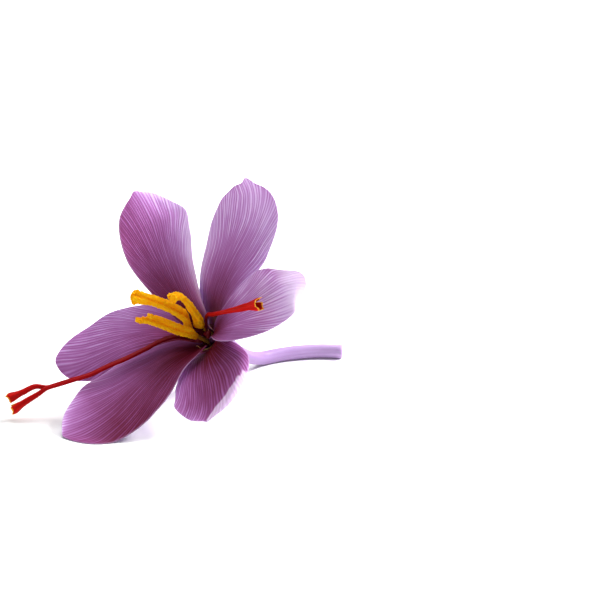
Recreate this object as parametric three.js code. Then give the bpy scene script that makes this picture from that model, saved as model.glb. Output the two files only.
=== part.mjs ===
// A saffron crocus flower, picked and laid down: six tepals, three stamens and three long
// red stigmas on a slender perianth tube. Millimetres, +Z up, +X to the viewer's right.
import * as THREE from 'three';

const DEG = Math.PI / 180;
const GAP = 0.3;                  // clear space between neighbouring pieces

// ---- how the bloom lies -----------------------------------------------------
const AXIS_ELEVATION = 32.5;      // degrees that the bloom's axis rises from the surface
const AXIS_TURN = 226;            // its heading in plan, degrees from +X toward +Y
const THROAT_HEIGHT = 14.1;       // the throat's centre over the surface

// ---- tepals -----------------------------------------------------------------
// Angles in degrees, lengths in mm. `at` is the place round the axis, from the topmost
// direction, counter-clockwise as seen from in front. `lean` (from the axis), `sway`
// (sideways) and `twist` (about the midrib) are given at the base, half way and the tip.
// `shoulder` is the width to which the claw widens at once above the throat. `cup` is the
// turn from midrib to margin. `lip` bends the last part of the blade back,
// and `curlLeft` and `curlRight` bend a margin in (+) or out (-). `swells` are a margin's own
// swellings (+) and bays (-): the side (1 right, -1 left), the share of the length, the spread
// along it, and how far in mm.
const BLADE_MARGIN = 0.6;         // thickness at the margin
const BLADE_RIB = 0.8;            // thickness at the midrib of the claw
const INNER = { ring: 2.5, claw: 3.9 };
const OUTER = { ring: 3.8, claw: 5.6 };
const CLAW_FLARE = 0.12;          // share of the length over which a claw widens to its shoulder
const TEPALS = {
  tepal_upper_left: {
    whorl: INNER, at: 36, length: 38.5, width: 17.5, shoulder: 6.4, widest: 0.58, blunt: 2.5, point: 0.54,
    lean: [23, 84, 78], sway: [4, 12], twist: [2, 15, 46], cup: [46, 30, -2],
    skew: -0.02, apex: 0.8, lip: -15, curlRight: 5, curlLeft: 5, wave: 0.25, phase: 0.4,
    swells: [[-1, 0.77, 0.09, 1.1], [-1, 0.45, 0.15, -0.7], [1, 0.38, 0.15, -0.4]],
  },
  tepal_upper_right: {
    whorl: OUTER, at: -16, length: 38.5, width: 18.5, shoulder: 7.4, widest: 0.62, blunt: 2.3, point: 0.48,
    lean: [35, 110, 44], sway: [-11, 12], twist: [2, 11, 19], cup: [30, 32, -14],
    skew: 0, apex: 1.8, lip: -15, curlRight: 0, curlLeft: -5, wave: 0.25, phase: 1.1,
    swells: [[1, 0.52, 0.16, -0.8], [1, 0.9, 0.06, -0.4], [-1, 0.58, 0.1, 0.5]],
  },
  tepal_right: {
    whorl: INNER, at: 281, length: 41, width: 16, shoulder: 4.6, widest: 0.54, blunt: 2.3, point: 0.44,
    lean: [32, 86, 84], sway: [21, 27], twist: [-3, -48, 49], cup: [46, 8, 20],
    skew: -0.06, apex: 0.4, lip: 70, curlRight: 0, curlLeft: -5, wave: 0.3, phase: 2.0,
    swells: [[-1, 0.22, 0.16, -2], [1, 0.93, 0.045, -1]],
  },
  tepal_lower_right: {
    whorl: OUTER, at: 234, length: 38, width: 21.5, shoulder: 6.6, widest: 0.62, blunt: 1.6, point: 0.52,
    lean: [30, 90, 52], sway: [26, -18], twist: [0, -21, 3], cup: [40, 14, 16],
    skew: 0.06, apex: 0.8, lip: 0, curlRight: -60, curlLeft: 0, wave: 0.3, phase: 0.9,
    swells: [[-1, 0.12, 0.1, 0.6], [1, 0.77, 0.1, -0.8]],
  },
  tepal_lower_left: {
    whorl: INNER, at: 181, length: 44.4, width: 21, shoulder: 8, widest: 0.58, blunt: 2.4, point: 0.5,
    lean: [21, 82, 42], sway: [14, -30], twist: [1, -14, 1], cup: [54, 2, 20],
    skew: 0.04, apex: 0.4, lip: 0, curlRight: -10, curlLeft: -10, wave: 0.25, phase: 2.6,
    swells: [[1, 0.18, 0.1, 1.2], [-1, 0.68, 0.1, 0.8], [1, 0.92, 0.06, 0.5]],
  },
  tepal_left: {
    whorl: OUTER, at: 106, length: 36.5, width: 19, shoulder: 8, widest: 0.42, blunt: 2.3, point: 0.52,
    lean: [26, 104, 72], sway: [32, 13], twist: [1, 16, -1], cup: [36, 4, -14],
    skew: 0.02, apex: 0.2, lip: -5, curlRight: -5, curlLeft: -5, wave: 0.25, phase: 1.7,
    swells: [[-1, 0.42, 0.1, -0.6]],
  },
};
const SWELL_END = 0.12;           // share of the length before the tip over which a swelling fades
const LIP_START = 0.86;           // share of the length where a lip begins
const CURL_START = 0.7;           // share of the half width where a curled margin begins
const APEX_WIDTH = 1.3;           // half width of the small point at the tip
const WAVES = 2.5;                // ruffles along a margin
const BLADE_ROWS = 24;
const BLADE_COLUMNS = 12;         // even, so that the midrib is a column

// ---- perianth tube ----------------------------------------------------------
const RIM_LEVEL = -0.5;           // along the axis, just behind the tepals' claws
const RIM_INNER = 2.2;
const RIM_OUTER = 4.3;
const THROAT_DEPTH = 9.5;         // depth of the funnel behind the rim
const THROAT_FLOOR = 1.5;         // radius of the funnel's floor
const TUBE_RADIUS = 1.7;
const TUBE_RUN = [[12.5, 19.5], [17, 23], [22, 25], [27.5, 26], [33, 25.5]];   // plan points
const TUBE_SIDES = 20;
const CUT_WALL = 0.75;            // the wall at the cut end
const CUT_DEPTH = 1.2;            // how far the pith has drawn back there

// ---- stamens ----------------------------------------------------------------
// `roll` turns an anther's broad side, in degrees, from level toward upright.
const FILAMENT_RADIUS = 0.4;
const FILAMENT_ROOT = -4;         // level along the axis where it leaves the funnel
const FILAMENT_ROOT_OUT = 1.15;   // its distance from the axis there
const ANTHER_LEVEL = 4.5;         // level where the anther begins
const ANTHER_OUT = 1.6;
const ANTHER_THICK = 1.6;
const ANTHER_ROOT = 0.5;          // its size where it begins, as a share of its full size
const STAMENS = {
  left: {
    at: 106, width: 2.7, tip: 1.15, roll: 75,
    path: [
      [-4.5, -4, 4.9], [-5.1, -5.4, 7.4], [-7.8, -7, 9.8], [-11, -8.5, 11.8],
      [-14.5, -9.5, 13.1], [-17.3, -10, 13.6],
    ],
  },
  upper: {
    at: 344, width: 2.5, tip: 1.1, roll: 10,
    path: [[-1.9, -4.9, 6.5], [-3.1, -7, 9.5], [-4.4, -8.5, 12], [-6.1, -10, 13.9], [-8.1, -11.5, 13.4]],
  },
  lower: {
    at: 234, width: 2.7, tip: 0.95, roll: 85,
    path: [[-4.2, -6, 3.4], [-7, -6.9, 4.7], [-10, -7.7, 6.3], [-13.5, -9, 7.9], [-16.2, -10, 8.7]],
  },
};

// ---- style and stigmas --------------------------------------------------------
const STYLE_AT = 288;             // the style leans to this side of the throat
const STYLE_RADIUS = 0.4;
const STYLE_TOP = 0.95;
const STYLE_LEVELS = [[-THROAT_DEPTH - 0.2, 0], [-5, 0.05], [-1, 0.7], [3, 2.3]];
// A thread has the radius `thread` from THREAD_REACH mm on, and is `stout` mm half high before
// it flares to its mouth.
const THREAD_ROOT = 0.32;         // radius of a thread in the throat
const THREAD_REACH = 12;
const PAIR_APART = [0, -0.6, 0.05];  // the lower thread runs this far in front of the pair's midline
const PAIR_RUN = [
  [-8, -4.3, 1.7], [-11, -6, 1.2], [-14, -8.3, 0.2], [-18.2, -10.8, -1.2], [-22.8, -13.2, -2.5],
  [-27, -15, -4], [-31.3, -15.8, -5.1], [-34.6, -16, -6.1], [-37, -16.2, -6.8],
];
const STIGMAS = {
  right: {
    root: [4, 3.05, 292], through: [], apart: 0,
    path: [
      [0.3, -6.8, 7.8], [2.1, -11.8, 9.9], [4.3, -16.8, 12], [7, -21, 14], [10, -24, 15.7],
      [13.1, -25.6, 16.9],
    ],
    width: 3.3, thread: 0.5, stout: 0.95,
  },
  upper: {
    root: [4, 2.05, 274], through: [[4.2, 0.5, 270], [4.2, 1, 168], [4.3, 2, 154]], apart: -1,
    path: [[-39.8, -15.3, -6.8], [-42.6, -15.8, -8], [-45.9, -15.9, -9.5]],
    width: 2.8, thread: 0.44, stout: 0.8,
  },
  lower: {
    root: [4, 2.05, 308], through: [[5.5, 0.5, 295], [5.6, 0.95, 165], [5.9, 1.9, 156]], apart: 1,
    path: [[-38.9, -17.1, -8], [-41.5, -17.8, -9.4], [-44.8, -18.4, -11.5]],
    width: 2.6, thread: 0.44, stout: 0.8,
  },
};

// ---- the flower's own directions ----------------------------------------------
const AXIS = new THREE.Vector3(
  Math.cos(AXIS_ELEVATION * DEG) * Math.cos(AXIS_TURN * DEG),
  Math.cos(AXIS_ELEVATION * DEG) * Math.sin(AXIS_TURN * DEG),
  Math.sin(AXIS_ELEVATION * DEG),
);
const Z = new THREE.Vector3(0, 0, 1);
const UP = Z.clone().addScaledVector(AXIS, -Z.dot(AXIS)).normalize();
const SIDE = new THREE.Vector3().crossVectors(AXIS, UP);

// The direction that stands off the axis at `angle` degrees from UP.
function radial(angle) {
  const out = UP.clone().multiplyScalar(Math.cos(angle * DEG));
  return out.addScaledVector(SIDE, Math.sin(angle * DEG));
}

// The point at `level` along the axis and `out` mm from it; the throat's centre is the origin.
function place([level, out, angle]) {
  return AXIS.clone().multiplyScalar(level).addScaledVector(radial(angle), out);
}

// ---- curves of one value --------------------------------------------------------
const clamp01 = (x) => Math.min(Math.max(x, 0), 1);
const smooth = (x) => clamp01(x) ** 2 * (3 - 2 * clamp01(x));
const mix = (a, b, t) => a + (b - a) * t;

// A quadratic through a base, a middle and a tip value.
function ease([base, middle, tip], s) {
  return (1 - s) ** 2 * base + 2 * s * (1 - s) * middle + s * s * tip;
}

// Half the blade's width at the share s of its length.
function halfWidth(spec, s) {
  const { width, widest, blunt, point } = spec;
  const claw = mix(spec.whorl.claw, spec.shoulder, smooth(s / CLAW_FLARE)) / 2;
  if (s < widest) {
    const up = s / widest;
    return claw + (width / 2 - claw) * (0.35 * up + 0.65 * smooth(up));
  }
  const down = (s - widest) / (1 - widest);
  return (width / 2) * Math.max(1 - down ** blunt, 0) ** point;
}

// How far a margin stands from the midrib at the share s, along the blade.
function reach(spec, s, side) {
  let half = halfWidth(spec, s) * (1 + side * spec.skew);
  for (const [at, share, spread, mm] of spec.swells) {
    const near = Math.exp(-(((s - share) / spread) ** 2)) * smooth((1 - s) / SWELL_END);
    if (at === side) half += mm * near;
  }
  return Math.max(half, 0);
}

// The direction of the midrib, and across it, at the share s.
function ribFrame(spec, s) {
  const lip = spec.lip * smooth((s - LIP_START) / (1 - LIP_START));
  const lean = (ease(spec.lean, s) + lip) * DEG;
  const at = spec.at + ease([0, ...spec.sway], s);
  const out = radial(at);
  const across = radial(at + 90);
  const along = AXIS.clone().multiplyScalar(Math.cos(lean)).addScaledVector(out, Math.sin(lean));
  const inward = new THREE.Vector3().crossVectors(along, across);
  const twist = ease(spec.twist, s) * DEG;
  const b = across.clone().multiplyScalar(Math.cos(twist)).addScaledVector(inward, Math.sin(twist));
  const n = inward.clone().multiplyScalar(Math.cos(twist)).addScaledVector(across, -Math.sin(twist));
  return { along, b, n };
}

// The turn of the cross section at the share c of the half width, in radians.
function sectionTurn(spec, s, c) {
  const side = Math.sign(c);
  const curl = side > 0 ? spec.curlRight : spec.curlLeft;
  const edge = smooth((Math.abs(c) - CURL_START) / (1 - CURL_START));
  return (ease(spec.cup, s) * c + side * curl * edge * smooth((s - 0.25) / 0.3)) * DEG;
}

// One row of the blade's middle surface: BLADE_COLUMNS + 1 points from left to right.
function bladeRow(spec, s, rib) {
  const { along, b, n } = ribFrame(spec, s);
  const half = halfWidth(spec, s);
  const centre = BLADE_COLUMNS / 2;
  const row = new Array(BLADE_COLUMNS + 1);
  row[centre] = rib.clone();
  for (const side of [1, -1]) {
    const step = reach(spec, s, side) / centre;
    for (let k = 1; k <= centre; k += 1) {
      const turn = sectionTurn(spec, s, (side * (k - 0.5)) / centre);
      const point = row[centre + side * (k - 1)].clone();
      point.addScaledVector(b, side * step * Math.cos(turn));
      point.addScaledVector(n, side * step * Math.sin(turn));
      row[centre + side * k] = point;
    }
  }
  const drawn = spec.apex * smooth((s - 0.84) / 0.16);
  row.forEach((point, j) => {
    const c = (j - centre) / centre;
    const ruffle = Math.sin((WAVES * s * 2 + spec.phase + (c > 0 ? 0.8 : 0)) * Math.PI);
    const margin = Math.abs(c) ** 3 * smooth((s - 0.3) / 0.3) * smooth((1 - s) / 0.2);
    point.addScaledVector(n, spec.wave * ruffle * margin);
    point.addScaledVector(along, drawn * Math.exp(-(((half * c) / APEX_WIDTH) ** 2)));
  });
  return row;
}

// A soft blade gives where it meets the surface: nothing sinks below half its thickness.
function settle(point) {
  const floor = -THROAT_HEIGHT + BLADE_MARGIN / 2;
  const soft = 0.15;
  const lift = (point.z - floor) / soft;
  point.z = floor + (lift > 20 ? point.z - floor : soft * Math.log1p(Math.exp(lift)));
  return point;
}

// The middle surface of a tepal: rows from the claw to just short of the tip, and the tip.
function bladeSurface(spec) {
  const shares = [];
  for (let i = 0; i <= BLADE_ROWS; i += 1) shares.push(1 - (1 - i / BLADE_ROWS) ** 1.25);
  let rib = place([0, spec.whorl.ring, spec.at]);
  const rows = [];
  for (let i = 0; i <= BLADE_ROWS; i += 1) {
    if (i > 0) {
      const parts = 4;
      const step = (shares[i] - shares[i - 1]) / parts;
      for (let k = 0; k < parts; k += 1) {
        const { along } = ribFrame(spec, shares[i - 1] + (k + 0.5) * step);
        rib = rib.clone().addScaledVector(along, step * spec.length);
      }
    }
    rows.push(bladeRow(spec, shares[i], rib).map(settle));
  }
  return rows;
}

// ---- solids from rows of points ---------------------------------------------------
function solid(points, faces) {
  const geometry = new THREE.BufferGeometry();
  const flat = points.flatMap((p) => [p.x, p.y, p.z]);
  geometry.setAttribute('position', new THREE.Float32BufferAttribute(flat, 3));
  geometry.setIndex(faces.flat());
  geometry.computeVertexNormals();
  return geometry;
}

// A blade of some thickness about its middle surface, closed round the edge.
function bladeSolid(spec) {
  const surface = bladeSurface(spec);
  const columns = BLADE_COLUMNS;
  const last = BLADE_ROWS - 1;
  const tip = surface[BLADE_ROWS][columns / 2];
  const points = [];
  const thickAt = (s, c) => mix(BLADE_MARGIN, mix(BLADE_RIB, BLADE_MARGIN, s), 1 - c * c);
  const normalAt = (i, j) => {
    const up = (i < last ? surface[i + 1][j] : tip).clone().sub(surface[Math.max(i - 1, 0)][j]);
    const over = surface[i][Math.min(j + 1, columns)].clone().sub(surface[i][Math.max(j - 1, 0)]);
    return up.cross(over).normalize();
  };
  for (const face of [1, -1]) {
    for (let i = 0; i <= last; i += 1) {
      for (let j = 0; j <= columns; j += 1) {
        const half = thickAt(i / last, (2 * j) / columns - 1) / 2;
        points.push(surface[i][j].clone().addScaledVector(normalAt(i, j), face * half));
      }
    }
    points.push(tip.clone().addScaledVector(normalAt(last, columns / 2), (face * BLADE_MARGIN) / 2));
  }
  const perFace = (last + 1) * (columns + 1) + 1;
  const id = (face, i, j) => face * perFace + i * (columns + 1) + j;
  const apex = (face) => face * perFace + perFace - 1;
  const faces = [];
  const both = (a, b, c) => {
    faces.push([a[0], b[0], c[0]], [a[1], c[1], b[1]]);
  };
  const pair = (i, j) => [id(0, i, j), id(1, i, j)];
  for (let i = 0; i < last; i += 1) {
    for (let j = 0; j < columns; j += 1) {
      both(pair(i, j), pair(i + 1, j), pair(i + 1, j + 1));
      both(pair(i, j), pair(i + 1, j + 1), pair(i, j + 1));
    }
  }
  for (let j = 0; j < columns; j += 1) both(pair(last, j), [apex(0), apex(1)], pair(last, j + 1));
  const edge = [];
  for (let j = 0; j <= columns; j += 1) edge.push(pair(0, j));
  for (let i = 1; i <= last; i += 1) edge.push(pair(i, columns));
  edge.push([apex(0), apex(1)]);
  for (let i = last; i > 0; i -= 1) edge.push(pair(i, 0));
  edge.forEach((here, k) => {
    const next = edge[(k + 1) % edge.length];
    faces.push([here[0], next[0], next[1]], [here[0], next[1], here[1]]);
  });
  return solid(points, faces);
}

// Directions square to a path: `u` lies across it, level with the surface, and `v` above it.
function pathFrame(curve, share) {
  const along = curve.getTangentAt(clamp01(share));
  const v = Z.clone().addScaledVector(along, -Z.dot(along)).normalize();
  const u = new THREE.Vector3().crossVectors(along, v);
  return { along, u, v, at: curve.getPointAt(clamp01(share)) };
}

// A closed body along a path. Each station gives its share of the path, its half width and
// half height, and how far its middle is pinched; the first and last stations are points.
// `roll` turns the whole section about the path, in degrees.
function bodyAlong(curve, stations, sides, roll = 0) {
  const points = [];
  const faces = [];
  const rings = stations.slice(1, -1);
  const end = (station) => {
    const { at, along } = pathFrame(curve, station.share);
    return at.addScaledVector(along, station.push ?? 0);
  };
  rings.forEach((station) => {
    const { at, along, u, v } = pathFrame(curve, station.share);
    at.addScaledVector(along, station.push ?? 0);
    u.applyAxisAngle(along, -roll * DEG);
    v.applyAxisAngle(along, -roll * DEG);
    for (let k = 0; k < sides; k += 1) {
      const turn = (2 * Math.PI * k) / sides;
      const waist = 1 - (station.pinch ?? 0) * Math.exp(-((Math.cos(turn) / 0.4) ** 2));
      const point = at.clone().addScaledVector(u, station.u * Math.cos(turn));
      points.push(point.addScaledVector(v, station.v * Math.sin(turn) * waist));
    }
  });
  const first = points.length;
  points.push(end(stations[0]), end(stations[stations.length - 1]));
  for (let k = 0; k < sides; k += 1) {
    const next = (k + 1) % sides;
    for (let i = 0; i < rings.length - 1; i += 1) {
      const a = i * sides;
      const b = a + sides;
      faces.push([a + k, b + k, b + next], [a + k, b + next, a + next]);
    }
    const top = (rings.length - 1) * sides;
    faces.push([first, k, next], [first + 1, top + next, top + k]);
  }
  return solid(points, faces);
}

const path = (points) => new THREE.CatmullRomCurve3(points, false, 'centripetal');
const fromThroat = (list) => list.map(([x, y, z]) => new THREE.Vector3(x, y, z));

// ---- the pieces -----------------------------------------------------------------
// The funnel and tube: down the inside of the throat from its floor, over the rim, and
// along the outside to the cut end.
function perianthTube() {
  const low = -THROAT_HEIGHT + TUBE_RADIUS;
  const axisPoints = [RIM_LEVEL, -5, -10, -12.5].map((level) => place([level, 0, 0]));
  const run = TUBE_RUN.map(([x, y], k) => new THREE.Vector3(x, y, k === 0 ? low + 0.4 : low));
  const curve = path([...axisPoints, ...run]);
  curve.arcLengthDivisions = 800;
  const length = curve.getLength();
  const ring = (mm, radius) => ({ share: mm / length, u: radius, v: radius });
  const stations = [ring(THROAT_DEPTH, 0)];
  const steps = 6;
  for (let k = 0; k <= steps; k += 1) {
    const t = k / steps;
    stations.push(ring(THROAT_DEPTH * (1 - t), mix(THROAT_FLOOR, RIM_INNER, t ** 1.6)));
  }
  const funnel = THROAT_DEPTH + 4;
  for (let k = 0; k <= steps; k += 1) {
    const t = k / steps;
    stations.push(ring(funnel * t, mix(RIM_OUTER, TUBE_RADIUS + 0.15, smooth(t) ** 0.8)));
  }
  const rest = 16;
  for (let k = 1; k <= rest; k += 1) {
    stations.push(ring(mix(funnel, length, k / rest), TUBE_RADIUS));
  }
  stations.push(ring(length, TUBE_RADIUS - CUT_WALL));
  stations.push(ring(length - CUT_DEPTH, TUBE_RADIUS - CUT_WALL - 0.1), ring(length - CUT_DEPTH, 0));
  return bodyAlong(curve, stations, TUBE_SIDES);
}

function filament({ at }) {
  const root = place([FILAMENT_ROOT, FILAMENT_ROOT_OUT, at]);
  const middle = place([0, 1.45, at]);
  const top = place([ANTHER_LEVEL - GAP - 0.3, ANTHER_OUT, at]);
  const curve = path([root, middle, top]);
  const r = FILAMENT_RADIUS;
  const stations = [{ share: 0, u: 0, v: 0 }];
  for (let k = 0; k <= 6; k += 1) stations.push({ share: k / 6, u: r, v: r });
  stations.push({ share: 1, u: 0, v: 0 });
  return bodyAlong(curve, stations, 10);
}

// Two pollen sacs side by side, pinched along the middle, blunt at the tip.
function anther({ at, width, tip, roll, path: through }) {
  const curve = path([place([ANTHER_LEVEL, ANTHER_OUT, at]), ...fromThroat(through)]);
  curve.arcLengthDivisions = 400;
  const rows = 20;
  const stations = [{ share: 0, u: 0, v: 0 }];
  for (let k = 0; k <= rows; k += 1) {
    const s = k / rows;
    const root = mix(ANTHER_ROOT, 1, smooth(s / 0.3));
    const end = mix(1, tip, smooth((s - 0.75) / 0.2)) * (k === rows ? 0.7 : 1);
    stations.push({
      share: mix(0, 0.985, s), u: (width / 2) * root * end, v: (ANTHER_THICK / 2) * root * end,
      pinch: 0.3 * smooth(s / 0.3),
    });
  }
  stations.push({ share: 1, u: 0, v: 0 });
  return bodyAlong(curve, stations, 14, roll);
}

function style() {
  const curve = path(STYLE_LEVELS.map(([level, out]) => place([level, out, STYLE_AT])));
  const rows = 10;
  const stations = [{ share: 0, u: 0, v: 0 }];
  for (let k = 0; k <= rows; k += 1) {
    const s = k / rows;
    const r = mix(STYLE_RADIUS, STYLE_TOP, smooth((s - 0.72) / 0.28));
    stations.push({ share: s, u: r, v: r });
  }
  stations.push({ share: 1, u: 0, v: 0 });
  return bodyAlong(curve, stations, 12);
}

// A thread that widens to a trumpet, with a dished mouth.
function stigma({ root, through, apart, path: ownPath, width, thread: full, stout }) {
  const points = [place(root), ...through.map(place)];
  if (apart !== 0) {
    const shift = new THREE.Vector3(...PAIR_APART).multiplyScalar(apart);
    points.push(...fromThroat(PAIR_RUN).map((point) => point.add(shift)));
  }
  points.push(...fromThroat(ownPath));
  const curve = path(points);
  curve.arcLengthDivisions = 600;
  const length = curve.getLength();
  const rows = 34;
  const stations = [{ share: 0, u: 0, v: 0 }];
  for (let k = 0; k <= rows; k += 1) {
    const s = k / rows;
    const left = (1 - s) * length;
    const thread = mix(THREAD_ROOT, full, smooth((s * length) / THREAD_REACH));
    const broad = smooth(1 - left / 13);
    const flare = smooth(1 - left / 3);
    const u = mix(thread, 0.95, broad) + flare * (width / 2 - 0.95);
    const v = mix(thread, stout, broad) + flare * (width / 2 - 0.2 - stout);
    stations.push({ share: s, u, v });
  }
  stations.push({ share: 1, u: width / 2 - 0.6, v: width / 2 - 0.8, push: -0.5 });
  stations.push({ share: 1, u: 0, v: 0, push: -0.9 });
  return bodyAlong(curve, stations, 12);
}

// ---- assembly ---------------------------------------------------------------------
const COLOURS = {
  tepal: ['#9a5c9c', 0.55],
  tube: ['#c9b3cf', 0.5],
  filament: ['#d9b64c', 0.6],
  anther: ['#ee9a0c', 0.8],
  style: ['#e0a03c', 0.5],
  stigma: ['#a80f18', 0.4],
};

const flower = new THREE.Group();

function add(name, geometry, look) {
  const [color, roughness] = COLOURS[look];
  const side = look === 'tepal' ? THREE.DoubleSide : THREE.FrontSide;
  const material = new THREE.MeshStandardMaterial({ color, roughness, metalness: 0, side });
  const mesh = new THREE.Mesh(geometry, material);
  mesh.name = name;
  flower.add(mesh);
}

for (const [name, spec] of Object.entries(TEPALS)) add(name, bladeSolid(spec), 'tepal');
add('perianth_tube', perianthTube(), 'tube');
for (const [name, spec] of Object.entries(STAMENS)) {
  add(`filament_${name}`, filament(spec), 'filament');
  add(`anther_${name}`, anther(spec), 'anther');
}
add('style', style(), 'style');
for (const [name, spec] of Object.entries(STIGMAS)) add(`stigma_${name}`, stigma(spec), 'stigma');

// The origin goes to the middle of the base of the whole flower's box.
const box = new THREE.Box3().setFromObject(flower);
const centre = box.getCenter(new THREE.Vector3());
flower.children.forEach((mesh) => mesh.geometry.translate(-centre.x, -centre.y, -box.min.z));

export default flower;
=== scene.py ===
"""A picked saffron crocus bloom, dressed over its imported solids.

Every shape is a formula of two parameters, worked out with numpy over a whole grid at once.
Lengths are millimetres from the throat's centre and angles are degrees, until a mesh is made
in metres. The blades, threads and tube follow the same driving sizes as the solids.
"""

import logging
import math
from dataclasses import dataclass
from enum import Enum
from typing import Any

import bpy
import numpy as np
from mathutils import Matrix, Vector
from numpy.typing import NDArray

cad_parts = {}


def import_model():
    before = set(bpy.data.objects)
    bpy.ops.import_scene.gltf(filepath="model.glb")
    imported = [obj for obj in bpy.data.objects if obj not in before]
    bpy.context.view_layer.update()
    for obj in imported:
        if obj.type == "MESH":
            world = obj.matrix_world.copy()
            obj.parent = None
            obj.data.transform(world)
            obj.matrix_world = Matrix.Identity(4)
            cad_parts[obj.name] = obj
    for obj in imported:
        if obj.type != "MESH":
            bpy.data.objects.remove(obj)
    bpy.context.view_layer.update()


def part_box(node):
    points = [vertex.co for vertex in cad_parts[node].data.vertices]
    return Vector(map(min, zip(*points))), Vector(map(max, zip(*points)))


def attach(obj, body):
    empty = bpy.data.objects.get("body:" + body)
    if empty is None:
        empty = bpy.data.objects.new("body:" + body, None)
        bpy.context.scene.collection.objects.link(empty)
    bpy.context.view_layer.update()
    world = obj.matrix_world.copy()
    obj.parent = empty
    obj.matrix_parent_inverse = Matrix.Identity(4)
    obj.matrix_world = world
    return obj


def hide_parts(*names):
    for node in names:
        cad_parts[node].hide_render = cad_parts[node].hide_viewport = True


Array = NDArray[np.float64]
Triple = tuple[float, float, float]
Stops = tuple[tuple[float, str], ...]

LOG = logging.getLogger("crocus")
MM = 0.001                         # metres in a millimetre
BODY = "root"                      # a flower has no joints, so all of it is one body


# ---- numbers ---------------------------------------------------------------------------
def smooth(x: Array | float) -> Array:
    """Smoothstep: 0 below 0, 1 above 1, and 3x^2 - 2x^3 between."""
    t = np.clip(x, 0.0, 1.0)
    return t * t * (3.0 - 2.0 * t)


def mix(low: Array | float, high: Array | float, share: Array | float) -> Array:
    """The value a share of the way from low to high."""
    return low + (high - low) * share


def ease(values: Triple, s: Array) -> Array:
    """A quadratic Bezier curve through a base, a middle and a tip value."""
    base, middle, tip = values
    return (1 - s) ** 2 * base + 2 * s * (1 - s) * middle + s * s * tip


def hill(x: Array, width: float, centre: float = 0.0) -> Array:
    """A smooth hill of height 1: exp(-((x - centre) / width)^2)."""
    return np.exp(-(((x - centre) / width) ** 2))


def around(angle: Array, centre: float, width: float) -> Array:
    """A hill on a closed ring, over the shortest turn, in radians, from a centre in degrees."""
    return hill(np.angle(np.exp(1j * (angle - math.radians(centre)))), width)


def dome(x: Array, width: float, least: float = 0.0) -> Array:
    """How a round end closes: the square root of x / width, held between least and 1."""
    return np.sqrt(np.clip(x / width, least, 1.0))


def turns(sides: int) -> Array:
    """The angles of a ring's corners, in radians."""
    return np.linspace(0, 2 * np.pi, sides, endpoint=False)


def unit(vectors: Array) -> Array:
    """The same vectors with a length of 1."""
    return vectors / np.maximum(np.linalg.norm(vectors, axis=-1, keepdims=True), 1e-12)


class Noise:
    """Seeded value noise: a smoothstep between the random numbers of a square lattice."""

    SIZE = 128

    def __init__(self, seed: int) -> None:
        """Draws the lattice.

        Args:
            seed: the seed of the draw, so that every run gives the same noise.
        """
        self.lattice = np.random.default_rng(seed).uniform(-1.0, 1.0, (self.SIZE, self.SIZE))

    def at(self, x: Array, y: Array) -> Array:
        """The noise at (x, y), from -1 to 1, with features about one unit wide.

        Args:
            x: first coordinate, of any shape.
            y: second coordinate, of a shape that broadcasts with x.

        Returns:
            The noise values.
        """
        x, y = np.broadcast_arrays(x, y)
        i, j = np.floor(x).astype(int), np.floor(y).astype(int)
        u, v = smooth(x - i), smooth(y - j)
        near, far = self.lattice[i % self.SIZE], self.lattice[(i + 1) % self.SIZE]
        low = mix(self._pick(near, j), self._pick(far, j), u)
        high = mix(self._pick(near, j + 1), self._pick(far, j + 1), u)
        return mix(low, high, v)

    def _pick(self, rows: Array, j: Array) -> Array:
        """The lattice numbers in column j of each row."""
        return np.take_along_axis(rows, (j % self.SIZE)[..., None], axis=-1)[..., 0]


# ---- how the bloom lies ------------------------------------------------------------------
@dataclass(frozen=True)
class Heading:
    """Where the bloom's axis points, and the directions that stand off it."""

    elevation: float = 32.5        # how far the axis rises from the surface
    turn: float = 226.0            # its heading in plan, from +X toward +Y
    height: float = 14.1           # the throat's centre over the surface

    @property
    def axis(self) -> Array:
        """The direction out of the throat."""
        rise, turn = math.radians(self.elevation), math.radians(self.turn)
        return np.array([
            math.cos(rise) * math.cos(turn),
            math.cos(rise) * math.sin(turn),
            math.sin(rise),
        ])

    @property
    def up(self) -> Array:
        """The direction square to the axis that rises most."""
        return unit(np.array([0.0, 0.0, 1.0]) - self.axis[2] * self.axis)

    @property
    def side(self) -> Array:
        """The direction square to the axis and to up."""
        return np.cross(self.axis, self.up)

    def radial(self, angle: Array | float) -> Array:
        """The direction off the axis at an angle from up: cos * up + sin * side."""
        turn = np.radians(angle)
        return np.cos(turn)[..., None] * self.up + np.sin(turn)[..., None] * self.side

    def place(self, level: float, out: float, angle: float) -> Array:
        """The point at a level along the axis and a distance off it."""
        return level * self.axis + out * self.radial(angle)


HEADING = Heading()


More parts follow.
